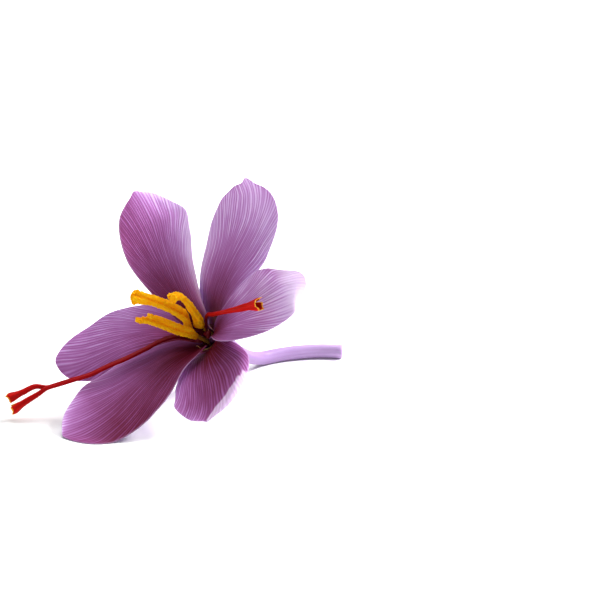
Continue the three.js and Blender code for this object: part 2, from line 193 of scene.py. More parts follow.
class Route:
    """A centripetal Catmull-Rom curve through points, known by the distance along it.

    Each span is the cubic that passes through its two points with the tangents of an uneven
    spacing, in which a spacing is the square root of the distance between neighbours.
    """

    FINE = 80

    def __init__(self, points: Array) -> None:
        """Samples the curve finely.

        Args:
            points: the points that it passes through, one a row.
        """
        p = np.vstack([2 * points[0] - points[1], points, 2 * points[-1] - points[-2]])
        gap = np.sqrt(np.linalg.norm(np.diff(p, axis=0), axis=1))[:, None]
        p0, p1, p2, p3 = p[:-3], p[1:-2], p[2:-1], p[3:]
        d0, d1, d2 = gap[:-2], gap[1:-1], gap[2:]
        leave = d1 * ((p1 - p0) / d0 - (p2 - p0) / (d0 + d1) + (p2 - p1) / d1)
        arrive = d1 * ((p2 - p1) / d1 - (p3 - p1) / (d1 + d2) + (p3 - p2) / d2)
        t = (np.arange(self.FINE) / self.FINE)[None, :, None]
        spans = (
            (2 * t**3 - 3 * t**2 + 1) * p1[:, None]
            + (t**3 - 2 * t**2 + t) * leave[:, None]
            + (3 * t**2 - 2 * t**3) * p2[:, None]
            + (t**3 - t**2) * arrive[:, None]
        )
        self.line = np.vstack([spans.reshape(-1, p.shape[1]), points[-1:]])
        steps = np.linalg.norm(np.diff(self.line, axis=0), axis=1)
        self.mark = np.concatenate([[0.0], np.cumsum(steps)])
        self.length = float(self.mark[-1])

    def at(self, mm: Array) -> Array:
        """The points of the curve.

        Args:
            mm: distances along it. Past its ends it runs straight on.

        Returns:
            A point for each distance.
        """
        held = np.clip(mm, 0.0, self.length)
        found = np.stack([np.interp(held, self.mark, x) for x in self.line.T], -1)
        return found + (mm - held)[..., None] * self.along(held)

    def along(self, mm: Array) -> Array:
        """The curve's direction at distances along it."""
        tangent = unit(np.gradient(self.line, self.mark, axis=0))
        return unit(np.stack([np.interp(mm, self.mark, x) for x in tangent.T], -1))

    def beside(self, mm: Array, x: Array, y: Array, roll: float = 0.0) -> Array:
        """The vectors x * u + y * v, with u level across the curve and v above it.

        Args:
            mm: distances along the curve. Past its ends u and v stay.
            x: how far each point lies across.
            y: how far it stands above.
            roll: how far u and v are turned about the curve, in degrees.

        Returns:
            A vector for each of them.
        """
        along = self.along(np.clip(mm, 0.0, self.length))
        v = unit(np.array([0.0, 0.0, 1.0]) - along[..., 2:] * along)
        u = np.cross(along, v)
        c, s = math.cos(math.radians(roll)), math.sin(math.radians(roll))
        return x[..., None] * (c * u + s * v) + y[..., None] * (c * v - s * u)

    def carry(self, mm: Array, radius: Array) -> Array:
        """A round section carried along the curve.

        Args:
            mm: a distance along the curve for each ring.
            radius: (rings, corners) radii.

        Returns:
            (rings, corners, 3) points.
        """
        mm, angle = mm[:, None], turns(radius.shape[1])
        return self.at(mm) + self.beside(mm, radius * np.cos(angle), radius * np.sin(angle))


# ---- meshes --------------------------------------------------------------------------------
@dataclass
class Skin:
    """A closed surface: points in millimetres, faces, and what the finish reads at each point."""

    points: Array
    faces: list[NDArray[np.int64]]
    fields: dict[str, Array]

    @staticmethod
    def sheet(upper: Array, lower: Array, above: dict[str, Array], below: dict[str, Array]) -> "Skin":
        """A thin blade whose two faces meet at its margins, its base and a single tip.

        Args:
            upper: rows of points from base to tip, on the face that looks into the bloom.
            lower: the same for the other face. The edges of the two grids coincide.
            above: the fields on the upper face, as grids.
            below: the fields on the lower face.

        Returns:
            The blade.
        """
        rows, columns = upper.shape[:2]
        front = np.arange(rows * columns).reshape(rows, columns)
        front[-1] = front[-1, columns // 2]
        back = front + rows * columns
        back[:, 0], back[:, -1], back[0], back[-1] = front[:, 0], front[:, -1], front[0], front[-1]
        a, b, c, d = front[:-2, :-1], front[1:-1, :-1], front[1:-1, 1:], front[:-2, 1:]
        e, f, g, h = back[:-2, :-1], back[1:-1, :-1], back[1:-1, 1:], back[:-2, 1:]
        quads = [np.stack([a, b, c, d], -1), np.stack([e, h, g, f], -1)]
        tip = np.full(columns - 1, front[-1, 0])
        ends = [
            np.stack([front[-2, :-1], tip, front[-2, 1:]], -1),
            np.stack([back[-2, :-1], back[-2, 1:], tip], -1),
        ]
        points = np.concatenate([upper.reshape(-1, 3), lower.reshape(-1, 3)])
        fields = {
            name: np.concatenate([above[name].reshape(len(points) // 2, -1),
                                  below[name].reshape(len(points) // 2, -1)])
            for name in above
        }
        return Skin(points, [np.concatenate([q.reshape(-1, 4) for q in quads]),
                             np.concatenate(ends)], fields).trimmed()

    @staticmethod
    def rings(grid: Array, fields: dict[str, Array]) -> "Skin":
        """A body of closed rings, each joined to the next, with a point at either end.

        Args:
            grid: (rings, corners, 3) points. The ends are the middles of the outer rings.
            fields: the fields of the rings, as grids.

        Returns:
            The closed body.
        """
        count, sides = grid.shape[:2]
        k = np.arange(count * sides).reshape(count, sides)
        turned = np.roll(k, -1, axis=1)
        quads = np.stack([k[:-1], k[1:], turned[1:], turned[:-1]], -1).reshape(-1, 4)
        first, last = np.full(sides, count * sides), np.full(sides, count * sides + 1)
        caps = np.concatenate([
            np.stack([first, k[0], turned[0]], -1),
            np.stack([last, turned[-1], k[-1]], -1),
        ])
        points = np.concatenate([grid.reshape(-1, 3), grid[[0, -1]].mean(1)])
        found = {
            name: np.concatenate([x.reshape(count * sides, -1), x[[0, -1]].mean(1).reshape(2, -1)])
            for name, x in fields.items()
        }
        return Skin(points, [quads, caps], found)

    @staticmethod
    def stalk(route: Route, mm: Array, radius: Array) -> "Skin":
        """A plain stalk with a round section, in the field that StalkFinish reads.

        Args:
            route: its line.
            mm: a distance along the line for each ring.
            radius: (rings, corners) radii.

        Returns:
            The stalk.
        """
        share = np.linspace(0, 1, len(mm))[:, None]
        return Skin.rings(route.carry(mm, radius), {"stalk": triple(share, 0 * radius, 0.0)})

    @staticmethod
    def grains(centres: Array, radii: Array, fields: dict[str, Array]) -> "Skin":
        """Small round grains: an icosahedron of 20 faces at each centre.

        Args:
            centres: the middles of the grains.
            radii: their radii.
            fields: the fields, one value a grain.

        Returns:
            All the grains as one mesh.
        """
        golden = (1 + math.sqrt(5)) / 2
        flat = np.array([(-1, golden, 0), (1, golden, 0), (-1, -golden, 0), (1, -golden, 0)])
        corners = unit(np.concatenate([flat, np.roll(flat, 1, axis=1), np.roll(flat, 2, axis=1)]))
        near = np.linalg.norm(corners[:, None] - corners[None], axis=-1)
        i, j, k = np.meshgrid(*[np.arange(12)] * 3, indexing="ij")
        side = 1.01 * near[near > 0].min()
        joined = (near[i, j] < side) & (near[j, k] < side) & (near[i, k] < side)
        found = np.stack([i, j, k], -1)[joined & (i < j) & (j < k)]
        a, b, c = (corners[found[:, x]] for x in range(3))
        inward = np.einsum("ij,ij->i", np.cross(b - a, c - a), a + b + c) < 0
        found[inward] = found[inward][:, ::-1]
        points = centres[:, None] + radii[:, None, None] * corners[None]
        faces = found[None] + 12 * np.arange(len(centres))[:, None, None]
        spread = {
            name: np.repeat(x.reshape(len(centres), -1), 12, axis=0) for name, x in fields.items()
        }
        return Skin(points.reshape(-1, 3), [faces.reshape(-1, 3)], spread)

    def trimmed(self) -> "Skin":
        """Leaves out the points that no face uses.

        Returns:
            The same surface without them.
        """
        used = np.zeros(len(self.points), bool)
        for faces in self.faces:
            used[faces] = True
        number = np.cumsum(used) - 1
        return Skin(
            self.points[used],
            [number[faces] for faces in self.faces],
            {name: x[used] for name, x in self.fields.items()},
        )

    def joined(self, other: "Skin") -> "Skin":
        """This surface and another with the same fields, as one mesh."""
        offset = len(self.points)
        return Skin(
            np.concatenate([self.points, other.points]),
            self.faces + [faces + offset for faces in other.faces],
            {name: np.concatenate([x, other.fields[name]]) for name, x in self.fields.items()},
        )

    def mesh(self, name: str, origin: Array) -> bpy.types.Mesh:
        """The surface as a Blender mesh in metres.

        Args:
            name: the mesh's name.
            origin: the place in the frame, in metres, of the millimetres' origin.

        Returns:
            The mesh, shaded smooth.
        """
        made = bpy.data.meshes.new(name)
        corners = np.concatenate([faces.ravel() for faces in self.faces]).astype(np.int32)
        totals = np.concatenate([np.full(len(f), f.shape[1]) for f in self.faces]).astype(np.int32)
        made.vertices.add(len(self.points))
        made.vertices.foreach_set("co", (self.points * MM + origin).astype(np.float32).ravel())
        made.loops.add(len(corners))
        made.loops.foreach_set("vertex_index", corners)
        made.polygons.add(len(totals))
        starts = np.concatenate([[0], np.cumsum(totals)[:-1]]).astype(np.int32)
        made.polygons.foreach_set("loop_start", starts)
        made.polygons.foreach_set("use_smooth", np.ones(len(totals), bool))
        made.update(calc_edges=True)
        for key, x in self.fields.items():
            layer = made.attributes.new(key, "FLOAT_VECTOR", "POINT")
            layer.data.foreach_set("vector", x.astype(np.float32).ravel())
        return made


def triple(x: Array, y: Array, z: Array | float) -> Array:
    """Three grids, or numbers, as one grid of vectors."""
    return np.stack(np.broadcast_arrays(x, y, z), -1).astype(float)


# ---- finishes --------------------------------------------------------------------------------
def colour(code: str) -> tuple[float, float, float, float]:
    """A colour code as the linear colour that a shader takes.

    Args:
        code: the code, such as #aa80cc.

    Returns:
        Red, green, blue and an alpha of 1.
    """
    parts = [int(code[k:k + 2], 16) / 255 for k in (1, 3, 5)]
    red, green, blue = (x / 12.92 if x <= 0.04045 else ((x + 0.055) / 1.055) ** 2.4 for x in parts)
    return red, green, blue, 1.0


class Signal:
    """A number on a shader's socket. Arithmetic on it adds Math nodes."""

    def __init__(self, shader: "Shader", socket: bpy.types.NodeSocket) -> None:
        """Wraps a socket of a shader."""
        self.shader = shader
        self.socket = socket

    def __add__(self, other: "Signal | float") -> "Signal":
        """self + other."""
        return self.shader.math("ADD", self, other)

    __radd__ = __add__

    def __mul__(self, other: "Signal | float") -> "Signal":
        """self * other."""
        return self.shader.math("MULTIPLY", self, other)

    __rmul__ = __mul__

    def __sub__(self, other: "Signal | float") -> "Signal":
        """self - other."""
        return self.shader.math("SUBTRACT", self, other)

    def __rsub__(self, other: float) -> "Signal":
        """other - self."""
        return self.shader.math("SUBTRACT", other, self)

    def clamped(self) -> "Signal":
        """The number, held between 0 and 1."""
        return self.shader.math("MINIMUM", self.shader.math("MAXIMUM", self, 0.0), 1.0)

    def between(self, low: float, high: float) -> "Signal":
        """Smoothstep from 0 at low to 1 at high."""
        settings = {"interpolation_type": "SMOOTHSTEP"}
        return self.shader.node("MapRange", settings, {"Value": self, 1: low, 2: high})


class Shader:
    """A material's node tree, with one method that adds every node."""

    def __init__(self, name: str) -> None:
        """Makes an empty material.

        Args:
            name: its name.
        """
        self.material = bpy.data.materials.new(name)
        self.material.use_nodes = True
        self.tree = self.material.node_tree
        self.tree.nodes.clear()

    def node(
        self,
        kind: str,
        settings: dict[str, Any] | None = None,
        inputs: dict[str | int, Any] | None = None,
        output: str | int = 0,
    ) -> Signal:
        """Adds a node.

        Args:
            kind: its type, without the words ShaderNode.
            settings: its properties, set first; `stops` are a ramp's places and colour codes.
            inputs: a value, or a signal to link, for each socket.
            output: the output that is wanted.

        Returns:
            That output.
        """
        made = self.tree.nodes.new("ShaderNode" + kind)
        for key, value in (settings or {}).items():
            if key == "stops":
                self._set_stops(made.color_ramp, value)
            else:
                setattr(made, key, value)
        for key, value in (inputs or {}).items():
            if isinstance(value, Signal):
                self.tree.links.new(value.socket, made.inputs[key])
            else:
                made.inputs[key].default_value = value
        return Signal(self, made.outputs[output])

    @staticmethod
    def _set_stops(ramp: bpy.types.ColorRamp, stops: Stops) -> None:
        """Gives a ramp its stops, with straight lines between them.

        Args:
            ramp: the ramp of a new node.
            stops: the places and colour codes, two or more.
        """
        ramp.interpolation = "LINEAR"
        while len(ramp.elements) < len(stops):
            ramp.elements.new(1.0)
        for element, (place, code) in zip(ramp.elements, stops):
            element.position = place
            element.color = colour(code)

    def math(self, operation: str, *values: Signal | float) -> Signal:
        """A Math node with the given operation and values."""
        return self.node("Math", {"operation": operation}, dict(enumerate(values)))

    def read(self, field: str) -> tuple[Signal, Signal, Signal]:
        """Reads one of the mesh's fields.

        Args:
            field: its name.

        Returns:
            Its three numbers.
        """
        vector = self.node("Attribute", {"attribute_name": field}, output="Vector")
        x, y, z = (self.node("SeparateXYZ", {}, {0: vector}, axis) for axis in "XYZ")
        return x, y, z

    def vector(self, x: Signal, y: Signal) -> Signal:
        """Two numbers as a vector."""
        return self.node("CombineXYZ", {}, {0: x, 1: y})

    def ramp(self, place: Signal, stops: Stops) -> Signal:
        """The colour of a ramp at a place on it."""
        return self.node("ValToRGB", {"stops": stops}, {"Fac": place})

    def blend(self, share: Signal, low: Signal | str, high: Signal | str) -> Signal:
        """Mixes two colours, the second over the first by a share of 0 to 1."""
        low, high = (colour(x) if isinstance(x, str) else x for x in (low, high))
        return self.node("Mix", {"data_type": "RGBA"}, {0: share, 6: low, 7: high}, 2)

    def noise(self, vector: Signal, scale: float, detail: float = 2.0) -> Signal:
        """Fractal noise from 0 to 1."""
        inputs = {"Vector": vector, "Scale": scale, "Detail": detail, "Roughness": 0.6}
        return self.node("TexNoise", {}, inputs)

    def place(self) -> Signal:
        """The place on the object, in metres."""
        return self.node("TexCoord", output="Object")

    def surface(self, inputs: dict[str, Any]) -> bpy.types.Material:
        """Ends the tree in a Principled shader.

        Args:
            inputs: its sockets' values and links.

        Returns:
            The finished material.
        """
        shaded = self.node("BsdfPrincipled", {}, inputs)
        out = self.tree.nodes.new("ShaderNodeOutputMaterial")
        self.tree.links.new(shaded.socket, out.inputs["Surface"])
        return self.material

    def tissue(
        self, tone: Signal, rough: Signal | float, height: Signal, kind: "Tissue"
    ) -> bpy.types.Material:
        """Ends the tree in a surface of living tissue.

        Args:
            tone: its colour.
            rough: its roughness.
            height: what stands out of it, from 0 to 1.
            kind: how it takes the light and how deep its relief is.

        Returns:
            The finished material.
        """
        bump = self.node("Bump", {}, {"Height": height, "Distance": kind.relief, "Strength": 1.0})
        return self.surface({
            "Normal": bump,
            "Base Color": tone,
            "Roughness": rough,
            "Specular IOR Level": kind.gloss,
            "Subsurface Weight": kind.glow,
            "Subsurface Radius": kind.colour,
            "Subsurface Scale": kind.reach,
        })


@dataclass(frozen=True)
class Tissue:
    """How a tissue takes the light, and how deep its relief is."""

    gloss: float                   # of the surface
    glow: float                    # the share of the light that passes through
    colour: Triple                 # how far red, green and blue go in it, in reaches
    reach: float                   # metres
    relief: float                  # metres


@dataclass(frozen=True)
class PetalFinish:
    """Lilac petal tissue: deep maroon at the throat, fine darker veins, and a paler outside.

    It reads two fields. `blade` holds a vein's share of the fan, the share of the length and the
    tone; `skin` holds the painted highlight on a blade's end, the margin's nearness and the face.
    """

    inner: Stops = (
        (0.0, "#5c0414"), (0.12, "#580a22"), (0.25, "#6a264a"), (0.38, "#7a3a6a"),
        (0.52, "#8b4c83"), (0.66, "#9e629f"), (0.8, "#b079b7"), (0.92, "#c69cd4"), (1.0, "#dabce6"),
    )
    outer: Stops = (
        (0.0, "#4a1030"), (0.1, "#64345c"), (0.25, "#86649a"), (0.6, "#9676ac"), (1.0, "#a88cbe"),
    )
    # painted highlight: the near-white colour painted on a recurved end where strong light falls
    pale: str = "#ecd8f6"
    rim: str = "#d9bfe6"
    vein: float = 0.36             # how far a vein moves the colour along its ramp
    cloud: float = 0.12            # and a cloud
    tissue: Tissue = Tissue(0.06, 0.08, (1.0, 0.6, 0.95), 0.0004, 0.00004)

    def _veins(self, shader: Shader, fan: Signal, along: Signal) -> Signal:
        """Thin pale ridges with darker streaks between them.

        A vein lies where fan * VEINS is whole, and a second set between them starts up the blade.

        Args:
            shader: the petal's.
            fan: the share of the fan of veins.
            along: the share of the length.

        Returns:
            The veins, from 0 to 1 about 0.5.
        """
        ridges = []
        for fold, start, strength in ((1, -1.0, 1.0), (2, 0.1, 0.85)):
            line = fan * float(Tepal.VEINS * fold)
            near = shader.math("PINGPONG", line, 0.5)
            own = shader.noise(shader.vector(shader.math("ROUND", line) * 3.7, along * 4.0), 1.0, 1.0)
            ridge = (1.0 - near.between(0.03, 0.27)) * (own * 2.4 - 0.6).clamped() * strength
            ridges.append(ridge * along.between(start, start + 0.25))
        found = shader.math("MAXIMUM", *ridges)
        streaks = shader.noise(shader.vector(fan * 50.0, along * 2.0), 1.0, 3.0)
        return (found * 0.75 + (streaks - 0.5) * 0.9 + 0.25).clamped()

    def material(self) -> bpy.types.Material:
        """Builds the material.

        Returns:
            The material.
        """
        shader = Shader("petal")
        fan, along, tone = shader.read("blade")
        light, margin, face = shader.read("skin")
        veins = self._veins(shader, fan, along)
        clouds = shader.noise(shader.vector(fan * 4.0, along * 6.0), 1.0)
        place = tone + (veins - 0.42) * self.vein * along.between(-0.05, 0.3)
        place = place + (clouds - 0.5) * self.cloud
        inside = shader.ramp(place.clamped(), self.inner)
        outside = shader.ramp((along + (veins - 0.5) * 0.3).clamped(), self.outer)
        skin = shader.blend(face, inside, outside)
        # painted highlight: recurved ends take the near-white colour, with the veins showing through
        skin = shader.blend((light + (veins - 0.5) * 0.25 * light).clamped(), skin, self.pale)
        skin = shader.blend(margin * (0.4 - along * 0.15) * along.between(0.15, 0.35), skin, self.rim)
        fine = shader.noise(shader.place(), 3800.0, 2.0)
        rough = 0.6 + (fine - 0.5) * 0.15
        return shader.tissue(skin, rough, veins * 0.6 + fine * 0.4, self.tissue)


@dataclass(frozen=True)
class AntherFinish:
    """Yellow-orange pollen sacs, browner at the root. It reads `sac`: share, painted shade and grain."""

    pollen: Stops = (
        (0.0, "#c45a00"), (0.25, "#f48a00"), (0.5, "#ffa400"), (0.75, "#ffb000"), (1.0, "#ffc414"),
    )
    root: str = "#d87c04"
    tissue: Tissue = Tissue(0.1, 0.15, (1.0, 0.5, 0.1), 0.0006, 0.00006)

    def material(self) -> bpy.types.Material:
        """Builds the material.

        Returns:
            The material.
        """
        shader = Shader("anther")
        along, shade, grain = shader.read("sac")
        spots = shader.noise(shader.place(), 4200.0, 3.0)
        broad = shader.noise(shader.place(), 700.0, 2.0)
        # painted shade: darker orange in the fold, the slits and between lumps, lighter on lumps; on
        # grains this channel is their own random tone
        place = (spots - 0.5) * 1.1 + (broad - 0.5) * 0.7 + shade * 0.45 + grain * 0.25 + 0.4
        tone = shader.ramp(place.clamped(), self.pollen)
        tone = shader.blend((1.0 - along.between(0.0, 0.25)) * 0.55, tone, self.root)
        return shader.tissue(tone, 0.8, spots, self.tissue)


@dataclass(frozen=True)
class ThreadFinish:
    """A crimson thread with an orange-yellow mouth. It reads `thread`: share, rim and unshaded share."""

    body: Stops
    rim: Stops = ((0.0, "#c0261a"), (0.45, "#dd6a18"), (1.0, "#f3b43a"))
    # painted shade: the dark red laid in the grooves and inside the trumpet
    groove_shade: str = "#5c0206"
    tissue: Tissue = Tissue(0.06, 0.02, (1.0, 0.15, 0.08), 0.0003, 0.00005)

    def material(self, name: str) -> bpy.types.Material:
        """Builds the material.

        Args:
            name: its name.

        Returns:
            The material.
        """
        shader = Shader(name)
        along, rim, unshaded = shader.read("thread")
        grain = shader.noise(shader.place(), 2600.0, 3.0)
        tone = shader.ramp((along + (grain - 0.5) * 0.1).clamped(), self.body)
        # painted shade: darker in the grooves and inside the mouth
        tone = shader.blend((1.0 - unshaded) * 0.3, tone, self.groove_shade)
        edge = shader.ramp((rim + (grain - 0.5) * 0.5).clamped(), self.rim)
        tone = shader.blend((rim + (grain - 0.5) * 0.4).between(0.45, 0.85), tone, edge)
        return shader.tissue(tone, 0.5, grain, self.tissue)


@dataclass(frozen=True)
class StalkFinish:
    """A smooth pale stalk whose colour runs along it. It reads `stalk`: share, rib and inside."""

    body: Stops
    inside: str = "#6a0a1c"
    rib: str = "#8c6a98"
    tissue: Tissue = Tissue(0.15, 0.2, (1.0, 0.7, 0.8), 0.0012, 0.00005)

    def material(self, name: str) -> bpy.types.Material:
        """Builds the material.

        Args:
            name: its name.

        Returns:
            The material.
        """
        shader = Shader(name)
        along, rib, inner = shader.read("stalk")
        grain = shader.noise(shader.place(), 900.0, 3.0)
        tone = shader.ramp((along + (grain - 0.5) * 0.08).clamped(), self.body)
        tone = shader.blend(rib * 0.3, tone, self.rib)
        tone = shader.blend(inner, tone, self.inside)
        return shader.tissue(tone, 0.42 + (grain - 0.5) * 0.2, grain, self.tissue)


@dataclass(frozen=True)
class FloorFinish:
    """A plain pale matt surface."""

    low: str = "#f6f6f6"
    high: str = "#f9f9f9"

    def material(self) -> bpy.types.Material:
        """Builds the material.

        Returns:
            The material.
        """
        shader = Shader("floor")
        mottle = shader.noise(shader.place(), 6.0, 2.0)
        tone = shader.blend(mottle, self.low, self.high)
        return shader.surface({"Base Color": tone, "Roughness": 0.9, "Specular IOR Level": 0.1})


# ---- the flower's pieces -----------------------------------------------------------------------
@dataclass
class Studio:
    """Where pieces go: the throat's place in the frame, and how a piece is hung on the part."""

    throat: Array

    def add(self, name: str, skin: Skin, material: bpy.types.Material, slot: str, *nodes: str) -> None:
        """Makes a piece of the flower.

        Args:
            name: the piece's name.
            skin: its surface.
            material: its finish.
            slot: the record's material slot that the finish belongs to; not used.
            nodes: the solids that it stands for.
        """
        mesh = skin.mesh(name, self.throat)
        mesh.materials.append(material)
        piece = bpy.data.objects.new(name, mesh)
        bpy.context.scene.collection.objects.link(piece)
        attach(piece, BODY)
        if nodes:
            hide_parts(*nodes)
        LOG.info("%s: %d points", name, len(skin.points))


class Whorl(Enum):
    """The two whorls of three tepals: a claw's distance from the axis, and its width."""

    INNER = (2.5, 3.9)
    OUTER = (3.8, 5.6)

    @property
    def ring(self) -> float:
        """How far the claws stand off the axis."""
        return self.value[0]

    @property
    def claw(self) -> float:
        """The claws' width."""
        return self.value[1]


@dataclass(frozen=True)
class Swell:
    """A place where a margin stands out, or in where `out` is below 0."""

    side: int                      # 1 for the right margin, -1 for the left
    share: float                   # where it is along the blade
    spread: float                  # how long it is, as a share of the blade
    out: float                     # how far the margin is moved


@dataclass(frozen=True)
class PaintedHighlight:
    """Painted highlight on a blade's end, past the line along + slope * across = start."""

    start: float
    slope: float = 0.0
    strength: float = 0.8
    soft: float = 0.035            # over how long a share it pales


@dataclass(frozen=True)
class Tone:
    """How a blade's colour, with painted light and shade, runs from 0 for deep maroon to 1 for pale lilac.

    The tone is the midrib's, plus slant * c + rim * c^2 at a share c of the half width.
    """

    # painted light and shade: besides each blade's own colour, rib, slant and rim make blades in light
    # lighter, blades in shade darker, and one side lighter than the other
    rib: tuple[float, ...]         # at the base, the quarters and the tip
    slant: Triple                  # at the base, half way and the tip
    rim: Triple

    STOPS = (0.0, 0.25, 0.5, 0.75, 1.0)

    def at(self, s: Array, c: Array) -> Array:
        """The tone at shares of the length and of the half width."""
        return np.interp(s, self.STOPS, self.rib) + ease(self.slant, s) * c + ease(self.rim, s) * c * c


@dataclass(frozen=True)
class Tepal:
    """One of the six coloured leaves of the bloom.

    `at` is its place round the axis. `lean` from the axis, `sway` sideways and `twist` about the
    midrib are given at the base, half way and the tip. `shoulder` is the width to which the claw
    widens at once, `widest` the share of the length where the blade is widest, and `blunt` and
    `point` shape its end. `cup` is the turn of the cross section from midrib to margin, `lip`
    bends the tip back and the curls bend a margin. `skew` widens the right half at the cost of the
    left, `apex` draws the tip out, `wave` and `phase` ruffle the margins, and `fan` turns out the
    veins on the left and on the right. The right margin is the counter-clockwise one, as seen from
    in front of the bloom.
    """

    name: str
    whorl: Whorl
    at: float
    length: float
    width: float
    shoulder: float
    widest: float
    blunt: float
    point: float
    lean: Triple
    sway: Triple
    twist: Triple
    cup: Triple
    skew: float
    apex: float
    lip: float
    curl_right: float
    curl_left: float
    wave: float
    phase: float
    seed: int
    tone: Tone
    swells: tuple[Swell, ...] = ()
    fan: tuple[float, float] = (0.5, 0.5)
    # a painted highlight on the end, where one is given
    pale: PaintedHighlight | None = None

    ROWS = 200
    COLUMNS = 180                  # even, so that the midrib is a column
    TIP_SPACING = 1.7              # above 1 gathers the rows toward the tip
    MARGIN_SPACING = 1.15          # above 1 gathers the columns toward the margins
    CLAW_FLARE = 0.12              # the share of the length over which the claw widens
    LIP_START = 0.86
    CURL_START = 0.7               # the share of the half width past which a margin curls
    CURL_FROM = 0.25               # and the share of the length
    APEX_START = 0.84
    APEX_WIDTH = 1.3               # how broad the drawn-out tip is
    SWELL_END = 0.12               # over this share before the tip the swells die away
    WAVES = 2.5                    # ruffles along a margin
    WAVE_SHIFT = 0.8               # how far one margin's run ahead, in half waves
    ROOT = 1.3                     # how far the claw reaches on into the tube's rim
    THICK_RIB = 0.42               # thickness at the midrib of the claw
    THICK_MARGIN = 0.24            # thickness near the margin and the tip
    EDGE = 0.2                     # radius over which the margin is rounded
    FAN_HOLD = 0.3                 # what keeps the fan from opening for ever
    VEINS = 12                     # main veins each side of the midrib
    VEIN_WIDTH = 0.22              # as a share of the distance between two
    VEIN_DEPTH = 0.05              # how far they stand out
    VEIN_BENDS = 0.04              # how far they wander, as a share of the fan
    RELIEF_IN = 0.5                # the share of the relief on the inner face
    RELIEF_OUT = 0.35
    # painted highlight: how far the line past which the end is painted near white wanders
    HIGHLIGHT_BENDS = 0.02              # how far a pale end's line wanders
    NEAR_MARGIN = 0.4              # how wide the strip is that the finish takes for the margin
    PUCKER = 0.16                  # soft unevenness toward the margins
    SOFTNESS = 0.15                # over what height a blade gives where it meets the surface

    def half_width(self, s: Array) -> Array:
        """Half the width at the share s of the length.

        The claw widens to its shoulder, the blade swells from it by 0.35 u + 0.65 smoothstep(u),
        and past the widest place it closes as (1 - d^blunt)^point.

        Args:
            s: shares of the length.

        Returns:
            Half the width, without the skew and the swells.
        """
        claw = mix(self.whorl.claw, self.shoulder, smooth(s / self.CLAW_FLARE)) / 2
        up = np.clip(s / self.widest, 0.0, 1.0)
        down = np.clip((s - self.widest) / (1 - self.widest), 0.0, 1.0)
        swell = claw + (self.width / 2 - claw) * (0.35 * up + 0.65 * smooth(up))
        close = self.width / 2 * np.maximum(1 - down**self.blunt, 0.0) ** self.point
        return np.where(s < self.widest, swell, close)

    def reach(self, s: Array, side: Array) -> Array:
        """How far a margin stands from the midrib, with its swells.

        Args:
            s: shares of the length, as a column.
            side: 1 for the right margin, -1 for the left.

        Returns:
            The distance, for each pair of the two.
        """
        found = self.half_width(s) * (1 + self.skew * side)
        fade = smooth((1 - s) / self.SWELL_END)
        for swell in self.swells:
            out = swell.out * hill(s, swell.spread, swell.share)
            found = found + out * fade * (side == swell.side)
        return np.maximum(found, 0.0)

    def rib_frame(self, s: Array) -> tuple[Array, Array, Array]:
        """The blade's own directions.

        Args:
            s: shares of the length.

        Returns:
            The midrib's direction, the one across the blade, and the one into the bloom.
        """
        lip = self.lip * smooth((s - self.LIP_START) / (1 - self.LIP_START))
        lean = np.radians(ease(self.lean, s) + lip)[:, None]
        angle = self.at + ease(self.sway, s)
        out, across = HEADING.radial(angle), HEADING.radial(angle + 90)
        along = np.cos(lean) * HEADING.axis + np.sin(lean) * out
        inward = np.cross(along, across)
        twist = np.radians(ease(self.twist, s))[:, None]
        b = np.cos(twist) * across + np.sin(twist) * inward
        n = np.cos(twist) * inward - np.sin(twist) * across
        return along, b, n

    def grid(self) -> tuple[Array, Array]:
        """Where the blade is worked out.

        Returns:
            The shares of the length, and those of the half width from -1 to 1.
        """
        s = 1 - (1 - np.linspace(0, 1, self.ROWS + 1)) ** self.TIP_SPACING
        s = np.concatenate([[-self.ROOT / self.length], s])
        t = np.linspace(-1, 1, self.COLUMNS + 1)
        return s, np.sign(t) * (1 - (1 - np.abs(t)) ** self.MARGIN_SPACING)

    def middle(self, s: Array, c: Array) -> Array:
        """The blade's middle surface.

        The midrib is the running sum of its direction. From it each half of a row is the
        running sum of steps across, turned by cup * c and by the curl near the margin. A
        ruffle, the drawn-out tip and soft puckers are added, and the blade gives where it
        meets the surface.

        Args:
            s: shares of the length.
            c: shares of the half width, from -1 to 1.

        Returns:
            A grid of points, a row for each s.
        """
        held = np.maximum(s, 0.0)
        along, b, n = self.rib_frame(held)
        steps = (along[1:] + along[:-1]) / 2 * (np.diff(s) * self.length)[:, None]
        rib = np.concatenate([np.zeros((1, 3)), np.cumsum(steps, 0)])
        rib += HEADING.place(0, self.whorl.ring, self.at) - rib[1]
        half = self.half_width(held)[:, None]
        c_mid = (c[1:] + c[:-1]) / 2
        side = np.sign(c_mid)
        curl = np.where(side > 0, self.curl_right, self.curl_left)
        edge = smooth((np.abs(c_mid) - self.CURL_START) / (1 - self.CURL_START))
        curl = side * curl * edge * smooth((held - self.CURL_FROM) / 0.3)[:, None]
        turn = np.radians(ease(self.cup, held)[:, None] * c_mid + curl)[..., None]
        step = (self.reach(held[:, None], side) * np.diff(c))[..., None]
        step = step * (np.cos(turn) * b[:, None] + np.sin(turn) * n[:, None])
        centre = len(c) // 2
        right = np.cumsum(step[:, centre:], 1)
        left = -np.cumsum(step[:, :centre][:, ::-1], 1)[:, ::-1]
        points = rib[:, None] + np.concatenate([left, np.zeros((len(s), 1, 3)), right], 1)
        return self._settled(points + self._ruffle(held[:, None], c, half, along, n))

